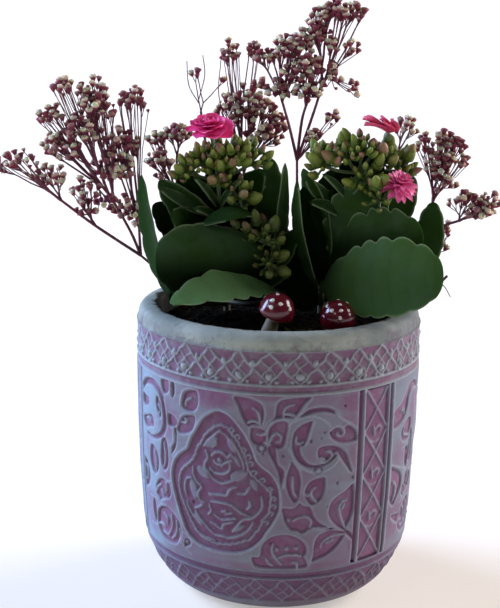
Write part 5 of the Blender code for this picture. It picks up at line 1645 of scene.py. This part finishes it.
def makeBloom(name, form, material):
    draw = random.Random(form["seed"])
    centre, axis = form["seat"]
    stand = np.array(Vector(axis).normalized().to_track_quat("Z", "Y").to_matrix())
    parts = []
    for layer, (petals, lean, length, width) in enumerate(form["rings"]):
        for index in range(petals):
            turn = form["sweep"] * ((index + 0.37 * layer) / petals - 0.33) + draw.uniform(-0.12, 0.12)
            size = form["length"] * length * draw.uniform(0.9, 1.05)
            wide = form["width"] * width * draw.uniform(0.9, 1.08)
            places, faces, values = petalMesh(form, math.radians(lean), turn, size, wide, draw)
            outward = np.array([-math.sin(turn), math.cos(turn), 0]) * 0.9 * (1 - layer * 0.15)
            values["tone"] = np.full(len(places), draw.random())
            places = (places + outward + [0, 0, 0.4 + 0.8 * layer]) @ stand.T + np.array(centre)
            parts.append((places, faces, values))
    places, faces, values = joined(parts)
    finishPiece(newPiece(name + "_petals", places, faces, **values), material, "petal", name)


def makePetalSkin(name, deep, light):
    material, nodes, shader = newMaterial(name, Subsurface_Weight=0.1, Subsurface_Scale=0.0015)
    along = nodes.attribute("along")
    lines = nodes.math("SINE", nodes.times(nodes.attribute("across"), 16.0))
    lines = nodes.times(nodes.ramp(lines, 0.0, 1.0), nodes.ramp(along, 0.1, 0.9, 1.0, 0.3))
    colour = nodes.layers(
        deep,
        (nodes.ramp(along, 0.0, 0.9), light),
        (nodes.times(nodes.attribute("tone"), 0.4), deep),
        (nodes.times(lines, 0.4), tinted(deep, 0.5)),
    )
    silk = nodes.noise(nodes.objectPlace(), 1800.0, 3.0)
    height = nodes.math("ADD", nodes.times(lines, -0.5), nodes.times(silk, 0.5))
    nodes.dress(shader, colour, nodes.ramp(silk, 0.3, 0.7, 0.42, 0.62), nodes.bump(height, 0.35, 0.0003))
    return material


petalSkins = {
    "left_bloom": makePetalSkin("pink petal", (0.72, 0.02, 0.2), (0.95, 0.07, 0.34)),
    "right_bloom": makePetalSkin("deep pink petal", (0.42, 0.012, 0.07), (0.68, 0.06, 0.17)),
    "right_side_bloom": makePetalSkin("bright pink petal", (0.58, 0.03, 0.2), (0.88, 0.17, 0.4)),
}
for name, form in bloomForms.items():
    makeBloom(name, form, petalSkins[name])
print("blooms opened")

# Gypsophila: boughs that fork again and again towards flat crowns of small double flowers

sprayForm = {
    "boughThick": 1.7,
    "finestTwig": 0.52,
    "flower": 4.5,
    "spacing": 2.7,  # kept between flowers
    "density": 2.25,
    "fork": 1.45,  # how far below a group of flowers its twigs fork, against the group's width
    "seed": 23,
    # a flower's cup, for a flower of size 1: height, radius and share of cream
    "cup": [(0, 0.08, 0), (0.16, 0.2, 0), (0.38, 0.3, 0), (0.58, 0.42, 0.5), (0.72, 0.32, 0.9)],
}
# a petal is a flat pyramid over the four corners of its foot and tip
petalFaces = [[3, 2, 1, 0], [0, 1, 4], [1, 2, 4], [2, 3, 4], [3, 0, 4]]
# each bough is a route and the crowns its twigs fork to: middle, half width, half height and flowers
sprays = {
    "left_spray": [
        ([(-44, 24, 106), (-50, 22, 140), (-70, 15, 161)], []),
        ([(-70, 15, 161), (-92, 9, 177), (-108, 5, 190)],
         [((-128, 2, 208), 9, 4.5, 10), ((-113, 5, 201), 7, 4, 9)]),
        ([(-92, 9, 177), (-94, 10, 180)], [((-97, 10, 194), 6, 4, 7), ((-97, 10, 185), 3, 3.5, 4)]),
        ([(-70, 15, 161), (-75, 15, 173), (-83, 14, 188)], [
            ((-108, 8, 215), 9, 6, 16), ((-113, 10, 230), 5.5, 4, 8), ((-107, 12, 243), 5, 3.5, 7),
            ((-93, 15, 242), 7, 4.5, 12), ((-91, 14, 233), 10, 5.5, 18), ((-98, 10, 222), 10, 6, 20),
            ((-84, 16, 204), 10, 6, 20), ((-87, 14, 187), 4, 3.5, 5),
        ]),
        ([(-70, 15, 161), (-71, 17, 175)], [
            ((-75, 22, 238), 6, 4.5, 10), ((-68, 22, 233), 1.5, 1.5, 1), ((-80, 20, 215), 9, 5.5, 18),
            ((-77, 16, 184), 5, 4, 7), ((-71, 18, 181), 3, 5, 6),
        ]),
    ],
    "left_back_spray": [([(-36, 33, 106), (-41, 33, 145), (-53, 34, 190)], [
        ((-63, 34, 216), 4, 3, 6), ((-54, 34, 219), 6, 3.5, 11), ((-62, 34, 206), 6, 4, 10),
        ((-61, 34, 198), 2.5, 2, 2),
    ])],
    "centre_left_spray": [
        ([(-26, 44, 106), (-30, 42, 160), (-19, 36, 201)], [
            ((-26, 35, 260), 4, 4.5, 9), ((-15, 35, 261), 3, 3, 5), ((-28, 34, 234), 6.5, 4, 9),
            ((-17, 34, 238), 6.5, 4.5, 9), ((-19, 33, 227), 8, 4, 8), ((-10, 34, 232), 6.5, 5, 10),
            ((-10, 33, 219), 9, 4.5, 12), ((-3, 34, 225), 4, 5, 7),
        ]),
        ([(-30, 42, 160), (-37, 37, 205), (-41, 34, 232)],
         [((-43, 34, 249), 2, 2, 2), ((-30, 35, 246), 1, 1, 1)]),
        ([(-42, 34, 236), (-47, 33, 245), (-48, 33, 257)], []),
        ([(-42, 34, 238), (-39, 33, 250), (-40, 33, 260)], []),
        ([(-27, 35, 222), (-32, 35, 240), (-31, 35, 258)], []),
    ],
    "tall_spray": [
        ([(10, 30, 106), (9, 27, 160), (8, 25, 209)],
         [((16, 24, 219), 4, 2.5, 5), ((25, 27, 228), 3, 2.5, 4)]),
        ([(8, 25, 209), (4, 27, 225), (0, 29, 238)], [
            ((-9, 31, 258), 4.5, 3.5, 9), ((0, 31, 262), 5, 5, 12), ((8, 30, 265), 5, 5, 12),
            ((-1, 28, 243), 5, 4, 7), ((-10, 30, 245), 3, 2, 2), ((5, 28, 250), 6, 4, 8),
        ]),
        ([(8, 25, 209), (10, 27, 228), (12, 28, 236)],
         [((13, 28, 254), 6, 5, 12), ((13, 27, 244), 5, 5, 10)]),
        ([(8, 25, 209), (15, 28, 230), (20, 30, 246)], [
            ((17, 32, 275), 5, 5, 11), ((25, 33, 281), 5, 4, 12), ((33, 33, 280), 5, 3.5, 9),
            ((39, 32, 279), 2, 1.5, 2), ((17, 30, 269), 3.5, 3, 5), ((24, 31, 264), 3, 3, 5),
            ((34, 31, 263), 3, 3, 5), ((24, 29, 250), 3.5, 5, 7), ((34, 30, 244), 2, 3.5, 4),
        ]),
    ],
    "right_spray": [
        ([(45, 22, 106), (48, 22, 143), (60, 23, 158), (73, 24, 172)], []),
        ([(73, 24, 172), (75, 25, 182), (77, 26, 189)], [
            ((72, 26, 216), 4, 3.5, 7), ((81, 27, 218), 4, 3.5, 10), ((88, 26, 216), 3.5, 3, 7),
            ((82, 25, 210), 5, 4, 11), ((91, 25, 208), 2.5, 3, 4), ((75, 25, 206), 3, 3, 4),
            ((80, 25, 202), 4, 3.5, 7), ((84, 24, 197), 4, 2, 3),
        ]),
        ([(73, 24, 172), (82, 23, 177), (90, 22, 180)], [
            ((93, 22, 190), 4, 2.5, 8), ((104, 20, 190), 4.5, 3, 11), ((100, 20, 184), 5.5, 3, 10),
            ((87, 23, 188), 2, 2, 2),
        ]),
        ([(60, 23, 158), (72, 25, 156), (79, 26, 161)],
         [((84, 25, 173), 2, 3.5, 5), ((82, 25, 165), 1.5, 2, 2)]),
        ([(60, 23, 152), (76, 25, 150), (84, 25, 146), (88, 24, 140)], []),
        ([(82, 25, 147), (86, 25, 151)], []),
    ],
    "small_right_spray": [
        ([(28, 44, 106), (31, 45, 150), (52, 42, 198), (60, 39, 213)], [((63, 38, 224), 4.5, 4, 10)]),
    ],
}


def flowerShape(name, petals, ruffle, creamy, draw):
    # a burgundy cup under a flat head of short ruffled petals
    columns = 7
    turn = fullTurn * np.arange(columns) / columns
    high, radius, share = np.array(sprayForm["cup"]).T[:, :, None]
    cup = ringPlaces(radius * (1 + 0.16 * np.cos(turn * 3 + high * 9) * (share > 0.1)), high, turn)
    cup = np.concatenate([cup, [[0, 0, 0], [0, 0, 0.76]]])
    cream = np.append(np.repeat(creamy * share, columns), [0, creamy * 0.5])
    parts = [(cup, tubeFaces(len(sprayForm["cup"]), columns), {"cream": cream})]
    for index in range(petals):
        angle = index * 2.4 + draw.uniform(-0.3, 0.3)
        rise = 0.25 + 0.75 * index / petals
        out = Vector((math.cos(angle), math.sin(angle), 0))
        side = Vector((-out.y, out.x, 0))
        lean = math.radians(95 - 85 * rise) + draw.uniform(-0.2, 0.2)
        reach = out * math.sin(lean) + upward * math.cos(lean)
        face = upward * math.sin(lean) - out * math.cos(lean)
        root = out * 0.28 * (1 - rise * 0.6) + upward * (0.46 + 0.22 * rise)
        size = ruffle * draw.uniform(0.8, 1.2)
        tip = root + reach * size - face * draw.uniform(0.0, 0.08)
        corners = (root - side * 0.1, root + side * 0.1, tip + side * 0.15, tip - side * 0.15)
        places = [*(corner + face * 0.05 for corner in corners), root.lerp(tip, 0.5) - face * 0.07]
        parts.append((np.array(places), petalFaces, {"cream": creamy * np.array([1, 1, 1, 1, 0.5])}))
    places, faces, values = joined(parts)
    return newShape(name, places, faces, **values)


class Spray:
    # gathers the lines and the flowers of one spray
    def __init__(self, name):
        self.draw = random.Random(name + str(sprayForm["seed"]))
        self.runs = []
        self.spots = []

    def loose(self, *reaches):
        return Vector([self.draw.uniform(*reach) for reach in reaches])

    def crown(self, middle, wide, high, count):
        # places for the flowers of one crown, kept apart from each other
        kept = []
        for attempt in range(count * 60):
            aside = self.loose((-1, 1), (-1, 1), (-1, 1))
            if aside.length > 1:
                continue
            dome = (1 - aside.x ** 2) * 0.5
            up = (aside.z + dome - 0.35) * high * 1.2
            place = Vector(middle) + Vector((aside.x * wide * 1.15, aside.y * max(2.5, wide * 0.9), up))
            others = kept + [spot[0] for spot in self.spots]
            if all((place - other).length > sprayForm["spacing"] for other in others):
                kept.append(place)
            if len(kept) >= count * sprayForm["density"]:
                break
        return kept

    def twig(self, start, end, flowers, sway):
        thick = min(sprayForm["boughThick"] / 2, sprayForm["finestTwig"] / 2 * flowers ** 0.36)
        aside = self.loose((-1, 1), (-1, 1), (-1.2, 0.2))
        middle = start.lerp(end, 0.5) + aside * sway * (end - start).length
        self.runs.append(([start, middle, end], [thick, thick * 0.9, thick * 0.85]))

    def fork(self, start, group):
        # parts a group of flowers across its widest way, with a twig to each half
        draw = self.draw
        if len(group) == 1:
            lean = (group[0] - start).normalized()
            self.twig(start, group[0] + lean * 0.3, 1, 0.05)
            loose = self.loose((-1, 1), (-1, 1), (-0.5, 1))
            size = sprayForm["flower"] * draw.uniform(0.78, 1.12) * (0.6 if draw.random() < 0.14 else 1)
            self.spots.append((group[0], (lean * 0.6 + loose * 0.3 + upward * 0.5).normalized(), size))
            return
        middle = sum(group, Vector()) / len(group)
        away = (middle - start).normalized()
        flat = np.array([place - middle - away * (place - middle).dot(away) for place in group])
        widest = Vector(np.linalg.svd(flat)[2][0])
        ordered = sorted(group, key=lambda place: (place - middle).dot(widest))
        cuts = range(max(1, len(group) // 3), max(2, len(group) - len(group) // 3))
        cut = max(cuts, key=lambda index: (ordered[index] - ordered[index - 1]).dot(widest))
        for half in (ordered[:cut], ordered[cut:]):
            if len(half) == 1:
                self.fork(start, half)
                continue
            centre = sum(half, Vector()) / len(half)
            way = centre - start
            spread = max((place - centre).length for place in half)
            back = min(way.length * 0.85, spread * sprayForm["fork"] + 1.5)
            joint = centre - way.normalized() * back
            self.twig(start, joint, len(half), 0.03)
            self.fork(joint, half)


def makeSpray(name, boughs, shapes, flowerSkin, twigSkin):
    spray = Spray(name)
    for route, crowns in boughs:
        points = [Vector(place) for place in smoothCurve(route, 5)]
        thick = sprayForm["boughThick"] / 2 * (1 if points[0].z < 150 or crowns else 0.35)
        spray.runs.append((points, np.linspace(thick, thick * 0.8, len(points))))
        group = sum((spray.crown(*crown) for crown in crowns), [])
        if group:
            spray.fork(points[-1], group)
    twigs = grown(name + "_twigs", lineMesh(spray.runs), tubes, Sides=5, Material=twigSkin)
    finishPiece(twigs, twigSkin, "spray", name)
    spots = pointMesh(spray.spots)
    seed = len(name) + 4
    flowers = grown(name + "_flowers", spots, scatter, Shapes=shapes, Seed=seed, Material=flowerSkin)
    finishPiece(flowers, flowerSkin, "spray", name)
    return len(spray.spots)


def makeSprayFlowerSkin():
    fixed = {"Subsurface_Weight": 0.6, "Subsurface_Scale": 0.003}
    material, nodes, shader = newMaterial("gypsophila flower", **fixed)
    fine = nodes.noise(nodes.objectPlace(), 1500.0, 4.0, 0.7)
    burgundy = nodes.blend(fine, (0.075, 0.003, 0.017), (0.22, 0.015, 0.055))
    pale = nodes.blend(nodes.attribute("tone"), (1.0, 0.95, 0.58), (0.95, 0.72, 0.55))
    share = nodes.times(nodes.attribute("cream"), nodes.ramp(fine, 0.34, 0.5, 0.35, 1.0))
    colour = nodes.blend(share, burgundy, pale)
    nodes.dress(shader, colour, nodes.ramp(fine, 0.3, 0.7, 0.6, 0.9), nodes.bump(fine, 0.4, 0.0003))
    return material


twigSkin = grainySkin("burgundy twig", (1600.0, 120.0, 1.6), (0.065, 0.008, 0.02), (0.16, 0.022, 0.05),
                      (0.5, 0.75), (0.4, 0.0003), lowDown(0.15, 0.19, 0.7, (0.035, 0.012, 0.014)))
sprayFlowerSkin = makeSprayFlowerSkin()
flowerDraw = random.Random(31)
flowerSet = shapeSet("spray flowers", [
    flowerShape("flower_" + str(index), petals, openness, creamy, flowerDraw)
    for index, (petals, openness, creamy) in enumerate([
        (9, 0.22, 1.0), (8, 0.2, 1.0), (9, 0.18, 0.9), (7, 0.2, 0.8), (5, 0.1, 0.05), (6, 0.16, 0.2),
        (8, 0.2, 0.25),
    ])
])
flowerCount = sum(makeSpray(*spray, flowerSet, sprayFlowerSkin, twigSkin) for spray in sprays.items())
discard(flowerSet)
print("sprays grown with", flowerCount, "flowers")

# Soil with crumbs, moss and a few roots

soilForm = {
    "edge": 132.0,
    "mound": 4.0,
    "radius": 58.4,
    "crumbs": 1500,
    "mossSpots": 520,
    "fibres": 46,
    "seed": 17,
    "rings": 62,
    "columns": 180,
    "under": [(1, 14.4), (22, 14.4), (44.3, 14.4), (58.3, 44), (58.4, 120)],
}
# a blade of moss has a triangle for its foot, one for its middle, and a point
bladeFaces = [[0, 3, 4, 1], [1, 4, 5, 2], [2, 5, 3, 0], [3, 6, 4], [4, 6, 5], [5, 6, 3], [0, 1, 2]]
# moss: middle (x, y), spread and share
mossPatches = [
    ((9, -42), 8, 0.3), ((17, -47), 6, 0.2), ((-42, -34), 7, 0.1), ((48, -26), 6, 0.1), ((2, -52), 7, 0.1),
    ((20, 40), 12, 0.1), ((-30, 40), 10, 0.1),
]


def soilTop(x, y):
    share = np.hypot(x, y) / potSizes["mouth"]
    return soilForm["edge"] + soilForm["mound"] * (1 - share ** 2)


def makeSoil(material):
    edge, columns = soilForm["radius"], soilForm["columns"]
    rings = np.linspace(edge, 0.8, soilForm["rings"])
    under = soilForm["under"]
    rows = under + [(radius, float(soilTop(radius, 0))) for radius in rings]
    angles = np.linspace(0, 360, columns, endpoint=False)
    angle = np.radians(potSizes["panelStart"] + angles)
    radius = rings[:, None]
    level = np.zeros((len(rings), columns))
    flat = np.stack([radius * np.sin(angle), -radius * np.cos(angle), level], 2).reshape(-1, 3)
    lumps = 0.9 * waves(flat, 14, 4) + 0.7 * waves(flat, 5.5, 5) + 0.45 * waves(flat, 2.6, 6)
    lumps -= 0.7 * np.abs(waves(flat, 3.4, 9))
    fade = smoothStep(radius, 0.8, 5) * (1 - smoothStep(radius, 56.5, edge))
    relief = np.concatenate([np.zeros((len(under), columns)), lumps.reshape(level.shape) * fade - 0.2])
    finishPiece(turnedPiece("soil_body", rows, relief, angles, False), material, "soil", "soil")


def crumbShape(name, stretch, seed):
    bpy.ops.mesh.primitive_ico_sphere_add(subdivisions=1, radius=0.5)
    shape = bpy.context.object
    shape.name = name
    draw = random.Random(seed)
    for vertex in shape.data.vertices:
        parts = [part * size * draw.uniform(0.7, 1.25) for part, size in zip(vertex.co, stretch)]
        vertex.co = Vector(parts) / 1000
    return shape


def tuftShape(name, blades, tall, seed):
    # a tuft of moss: short curved blades, each closed to a point
    draw = random.Random(seed)
    parts = []
    for index in range(blades):
        turn = index * 2.4 + draw.uniform(-0.4, 0.4)
        out = Vector((math.cos(turn), math.sin(turn), 0))
        side = Vector((-out.y, out.x, 0)) * 0.13
        lean = draw.uniform(0.25, 0.9)
        high = tall * draw.uniform(0.6, 1)
        middle = out * lean * 0.5 + upward * (high * 0.6)
        tip = out * lean * 1.3 + upward * high
        places = [-side, side, out * 0.12, middle - side, middle + side, middle + out * 0.12, tip]
        parts.append((np.array(places), bladeFaces, {}))
    places, faces, values = joined(parts)
    return newShape(name, places, faces)


def onSoil(draw, reach=57.0):
    radius = reach * math.sqrt(draw.random())
    turn = draw.uniform(0, fullTurn)
    return radius * math.cos(turn), radius * math.sin(turn)


def scattered(name, spots, shapes, seed, material):
    # a piece of small shapes on the soil
    group = shapeSet(name, shapes)
    piece = grown(name, pointMesh(spots), scatter, Shapes=group, Seed=seed, Material=material)
    discard(group)
    finishPiece(piece, material, "soil", "soil")


def makeCrumbs(material):
    draw = random.Random(soilForm["seed"])
    spots = []
    for index in range(soilForm["crumbs"]):
        x, y = onSoil(draw)
        size = draw.choice((1.1, 1.5, 2.0, 2.6)) * draw.uniform(0.7, 1.2)
        axis = Vector((draw.gauss(0, 0.6), draw.gauss(0, 0.6), 1))
        spots.append(((x, y, float(soilTop(x, y)) + 0.1), axis, size))
    shapes = [crumbShape(name, stretch, seed) for name, stretch, seed in (
        ("crumb_round", (1, 1, 0.9), 1), ("crumb_flat", (1.5, 0.9, 0.4), 2),
        ("crumb_long", (2.1, 0.5, 0.45), 3), ("crumb_small", (0.7, 0.8, 0.6), 4),
    )]
    scattered("soil_crumbs", spots, shapes, 5, material)


def makeMoss(material):
    draw = random.Random(soilForm["seed"] + 1)
    spots = []
    for middle, spread, share in mossPatches:
        for index in range(round(soilForm["mossSpots"] * share)):
            x = middle[0] + draw.gauss(0, spread * 0.5)
            y = middle[1] + draw.gauss(0, spread * 0.5)
            if math.hypot(x, y) < 56.5:
                axis = Vector((draw.gauss(0, 0.3), draw.gauss(0, 0.3), 1))
                spots.append(((x, y, float(soilTop(x, y)) - 0.1), axis, draw.uniform(0.8, 1.7)))
    shapes = [tuftShape("tuft_low", 6, 1.6, 1), tuftShape("tuft_tall", 7, 2.3, 2)]
    scattered("soil_moss", spots, shapes, 6, material)


def makeFibres(material):
    draw = random.Random(soilForm["seed"] + 2)
    runs = []
    for index in range(soilForm["fibres"]):
        x, y = onSoil(draw, 50)
        turn = draw.uniform(0, fullTurn)
        run = []
        for step in range(5):
            turn += draw.uniform(-0.6, 0.6)
            x += 2.2 * math.cos(turn)
            y += 2.2 * math.sin(turn)
            lift = 0.5 + 1.1 * math.sin(math.pi * step / 4) * draw.random()
            run.append((x, y, float(soilTop(x, y)) + lift))
        if all(math.hypot(*place[:2]) < 57 for place in run):
            runs.append((run, np.linspace(0.3, 0.16, len(run))))
    fibres = grown("soil_fibres", lineMesh(runs), tubes, Sides=4, Material=material)
    finishPiece(fibres, material, "soil", "soil")


def makeEarth(name, dark, light):
    def crumbly(nodes):
        return [(nodes.times(nodes.attribute("tone"), 0.6), tinted(light, 1.7))]

    return grainySkin(name, (1300.0, 180.0, 2.0), dark, light, (0.8, 1.0), (0.8, 0.0008), crumbly,
                      Specular_IOR_Level=0.03)


makeSoil(makeEarth("potting soil", (0.0012, 0.0009, 0.0006), (0.006, 0.0045, 0.003)))
makeCrumbs(makeEarth("soil crumbs", (0.0015, 0.001, 0.0007), (0.008, 0.006, 0.004)))
makeMoss(makeEarth("moss", (0.014, 0.017, 0.003), (0.06, 0.066, 0.011)))
makeFibres(makeEarth("root fibres", (0.012, 0.008, 0.004), (0.03, 0.021, 0.012)))
print("soil laid")

# Toadstool picks: a lacquered cap with raised spots, and a painted stem

toadstools = {
    "left_toadstool": {
        "foot": (-6, -43, 132.6), "axis": (0.3, -0.22, 0.92), "length": 16.0,
        "spots": [(130, 16, 1.0), (171, 40, 1.15), (-144, 40, 1.1), (-174, 60, 1.2), (-95, 52, 1.2),
                  (10, 52, 1.2), (60, 42, 1.1), (100, 66, 1.1)],
    },
    "right_toadstool": {
        "foot": (28, -36, 132.6), "axis": (-0.04, -0.36, 0.93), "length": 11.0,
        "spots": [(-36, 10, 0.95), (-120, 34, 1.2), (-65, 32, 1.0), (-25, 42, 1.0), (-76, 54, 1.1),
                  (40, 40, 1.1), (90, 36, 1.1), (140, 52, 1.1), (180, 36, 1.1)],
    },
}
capForm = {
    "radius": 8.3,
    "height": 9.1,
    "edge": 1.0,
    "steps": 34,
    "columns": 64,
    "spotHeight": 0.35,
    # its underside, from the edge inwards
    "under": [(8.25, 0.45), (7.9, 0.05), (7.2, 0.0), (6.4, 0.45), (5, 0.6), (3.6, 0.4), (2.4, 0.3),
              (0.5, 0.3)],
}


def capMesh(place):
    # the cap's dome from its middle below to its top, with its spots raised
    wide, tall, edge = capForm["radius"], capForm["height"], capForm["edge"]
    turn = fullTurn * np.arange(capForm["columns"]) / capForm["columns"]
    tilt = np.radians(np.linspace(1, 90, capForm["steps"]))
    dome = np.stack([wide * np.sin(tilt), tall * np.cos(tilt) ** 0.92 + edge], 1)
    under = capForm["under"]
    rows = np.concatenate([dome, under])[::-1, :, None] * np.ones(len(turn))
    radius, height = rows[:, 0], rows[:, 1]
    ring = np.arange(len(rows))[:, None]
    spot = np.zeros(radius.shape)
    for azimuth, lean, size in place["spots"]:
        azimuth, lean = math.radians(azimuth), math.radians(lean)
        flat = math.sin(lean) * wide
        gap = np.sqrt((radius * np.cos(turn) - flat * math.cos(azimuth)) ** 2
                      + (radius * np.sin(turn) - flat * math.sin(azimuth)) ** 2
                      + (height - math.cos(lean) * tall - edge) ** 2)
        spot = np.maximum(spot, 1 - smoothStep(gap, size * 0.6, size * 1.05))
    spot = spot * (ring >= len(under))
    grow = 1 + spot * capForm["spotHeight"] / 8.5
    places = ringPlaces(radius * grow, height * grow, turn)
    places = np.concatenate([places, [[0, 0, 0.3], [0, 0, tall + edge]]])
    beneath = np.repeat(ring < len(under) - 1, len(turn))
    values = {"spot": np.append(spot, [0, 0]), "beneath": np.append(beneath, [1, 0])}
    return places, tubeFaces(*radius.shape), values


def stalkMesh(length):
    # a stem that is thickest a little over its foot
    turn = fullTurn * np.arange(28) / 28
    profile = [(0.4, -0.6), (3.2, -0.6), (3.5, 0.6), (3.7, 2.4), (3.55, length * 0.4), (3.1, length * 0.7),
               (2.9, length * 0.92), (2.9, length), (0.4, length)]
    rows = smoothCurve(profile, 4)
    ripple = 1 + 0.02 * np.sin(turn * 3 + 1) + 0.012 * np.sin(turn * 7)
    places = ringPlaces(rows[:, :1] * ripple, rows[:, 1:], turn)
    places = np.concatenate([places, [[0, 0, -0.6], [0, 0, length]]])
    return places, tubeFaces(len(rows), len(turn)), {}


def makeToadstool(name, place, capSkin, stemSkin):
    axis = Vector(place["axis"]).normalized()
    stand = np.array(axis.to_track_quat("Z", "Y").to_matrix())
    foot = np.array(place["foot"])
    seat = foot + np.array(axis) * (place["length"] - 0.6)
    for part, (places, faces, values), where, skin, slot, node in (
        ("_dome", capMesh(place), seat, capSkin, "red_lacquer", "_cap"),
        ("_stalk", stalkMesh(place["length"]), foot, stemSkin, "cream_paint", "_stem"),
    ):
        piece = newPiece(name + part, places @ stand.T + where, faces, **values)
        finishPiece(piece, skin, slot, name + node)


def lacquerLayers(nodes):
    # cream beneath the cap, and its pale spots
    spot = nodes.ramp(nodes.attribute("spot"), 0.3, 0.7)
    return [(nodes.attribute("beneath"), (0.5, 0.42, 0.3)), (spot, (0.62, 0.58, 0.52))]


capSkin = grainySkin("red lacquer", (700.0, 160.0, 1.4), (0.06, 0.0015, 0.006), (0.1, 0.003, 0.012),
                     (0.14, 0.26), (0.08, 0.0003), lacquerLayers, Specular_IOR_Level=0.35,
                     Coat_Weight=0.4, Coat_Roughness=0.04)
# the stem's cream is darkened well below cream as painted shade
shadedCreamPaint = grainySkin("cream paint in painted shade", (900.0, 130.0, 1.6), (0.13, 0.105, 0.06), (0.22, 0.185, 0.12),
                        (0.45, 0.65), (0.25, 0.0004), lowDown(0.1325, 0.137, 0.75, (0.03, 0.024, 0.014)))
wireSkin = grainySkin("steel wire", (1800.0, 300.0, 1.5), (0.2, 0.17, 0.14), (0.42, 0.4, 0.38),
                      (0.35, 0.6), Metallic=1.0)
for name, place in toadstools.items():
    makeToadstool(name, place, capSkin, shadedCreamPaint)
    wire = bpy.data.objects[name + "_wire"]
    for slot in wire.material_slots:
        slot.material = wireSkin
print("toadstools planted")

# Floor, light and camera: places are in metres here, and angles of the camera in radians

studio = {
    "floor": 1500.0,
    "floorPlace": (0, 3, -0.0006),
    "floorColour": (0.68, 0.6, 0.5),
    "floorGlow": (1.0, 1.0, 0.98),
    "floorGlowStrength": 0.36,
    # each sun is a direction, a strength and a colour
    "suns": {
        "left light": ((-0.9, 0.35, 0.36), 8.8, (0.47, 0.63, 1.0)),
        "right light": ((0.9, 0.35, 0.32), 5.0, (1.0, 0.93, 0.97)),
    },
    "softness": 45,  # degrees across each sun
    "lampPlace": (-0.5, -0.5, 0.75),
    "lampAim": (0, 0, 0.16),
    "lampSize": (0.9, 0.1),
    "lampWatts": 1.5,
    "worldLight": 0.08,
    "viewTangent": 304 / 1297,  # of half the angle that the picture is high
    "cameraPlace": (0, -0.626, 0.2893),
    "cameraTurn": 0.0227,
    "cameraDip": 0.23357,
    "cameraRoll": 0.01166,
}


def placeInScene(name, data, matrix):
    holder = bpy.data.objects.new(name, data)
    holder.matrix_world = matrix
    bpy.context.scene.collection.objects.link(holder)
    return holder


def facing(direction):
    return Vector(direction).to_track_quat("Z", "Y").to_matrix().to_4x4()


def makeFloor():
    bpy.ops.mesh.primitive_plane_add(size=studio["floor"], location=studio["floorPlace"])
    floor = bpy.context.object
    floor.name = "studio_floor"
    material, nodes, shader = newMaterial("white floor", Roughness=0.9)
    shader.inputs["Base Color"].default_value = (*studio["floorColour"], 1)
    shader.inputs["Emission Color"].default_value = (*studio["floorGlow"], 1)
    shader.inputs["Emission Strength"].default_value = studio["floorGlowStrength"]
    floor.data.materials.append(material)
    floor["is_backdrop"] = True


def makeLights():
    for name, (direction, strength, colour) in studio["suns"].items():
        sun = bpy.data.lights.new(name, "SUN")
        sun.energy = strength
        sun.color = colour
        sun.angle = math.radians(studio["softness"])
        placeInScene(name, sun, facing(direction))
    # a long soft lamp above the left of the camera
    lamp = bpy.data.lights.new("top light", "AREA")
    lamp.shape = "RECTANGLE"
    lamp.size, lamp.size_y = studio["lampSize"]
    lamp.energy = studio["lampWatts"]
    place = Vector(studio["lampPlace"])
    placeInScene("top light", lamp, Matrix.Translation(place) @ facing(place - Vector(studio["lampAim"])))
    world = bpy.data.worlds.new("studio")
    world.use_nodes = True
    sky = world.node_tree.nodes["Background"]
    sky.inputs["Color"].default_value = (1, 1, 1, 1)
    sky.inputs["Strength"].default_value = studio["worldLight"]
    bpy.context.scene.world = world
    bpy.context.scene.view_settings.view_transform = "Standard"


def makeCamera():
    camera = bpy.data.cameras.new("view")
    camera.sensor_fit = "VERTICAL"
    camera.angle = 2 * math.atan(studio["viewTangent"])
    bpy.context.scene.camera = placeInScene("view", camera, (
        Matrix.Translation(studio["cameraPlace"])
        @ Matrix.Rotation(studio["cameraTurn"], 4, "Z")
        @ Matrix.Rotation(math.pi / 2 - studio["cameraDip"], 4, "X")
        @ Matrix.Rotation(studio["cameraRoll"], 4, "Z")
    ))


makeFloor()
makeLights()
makeCamera()
print("stage set")

boxes = {"cad": cadBounds, "visual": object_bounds()}
{name: [list(corner) for corner in box] for name, box in boxes.items()}
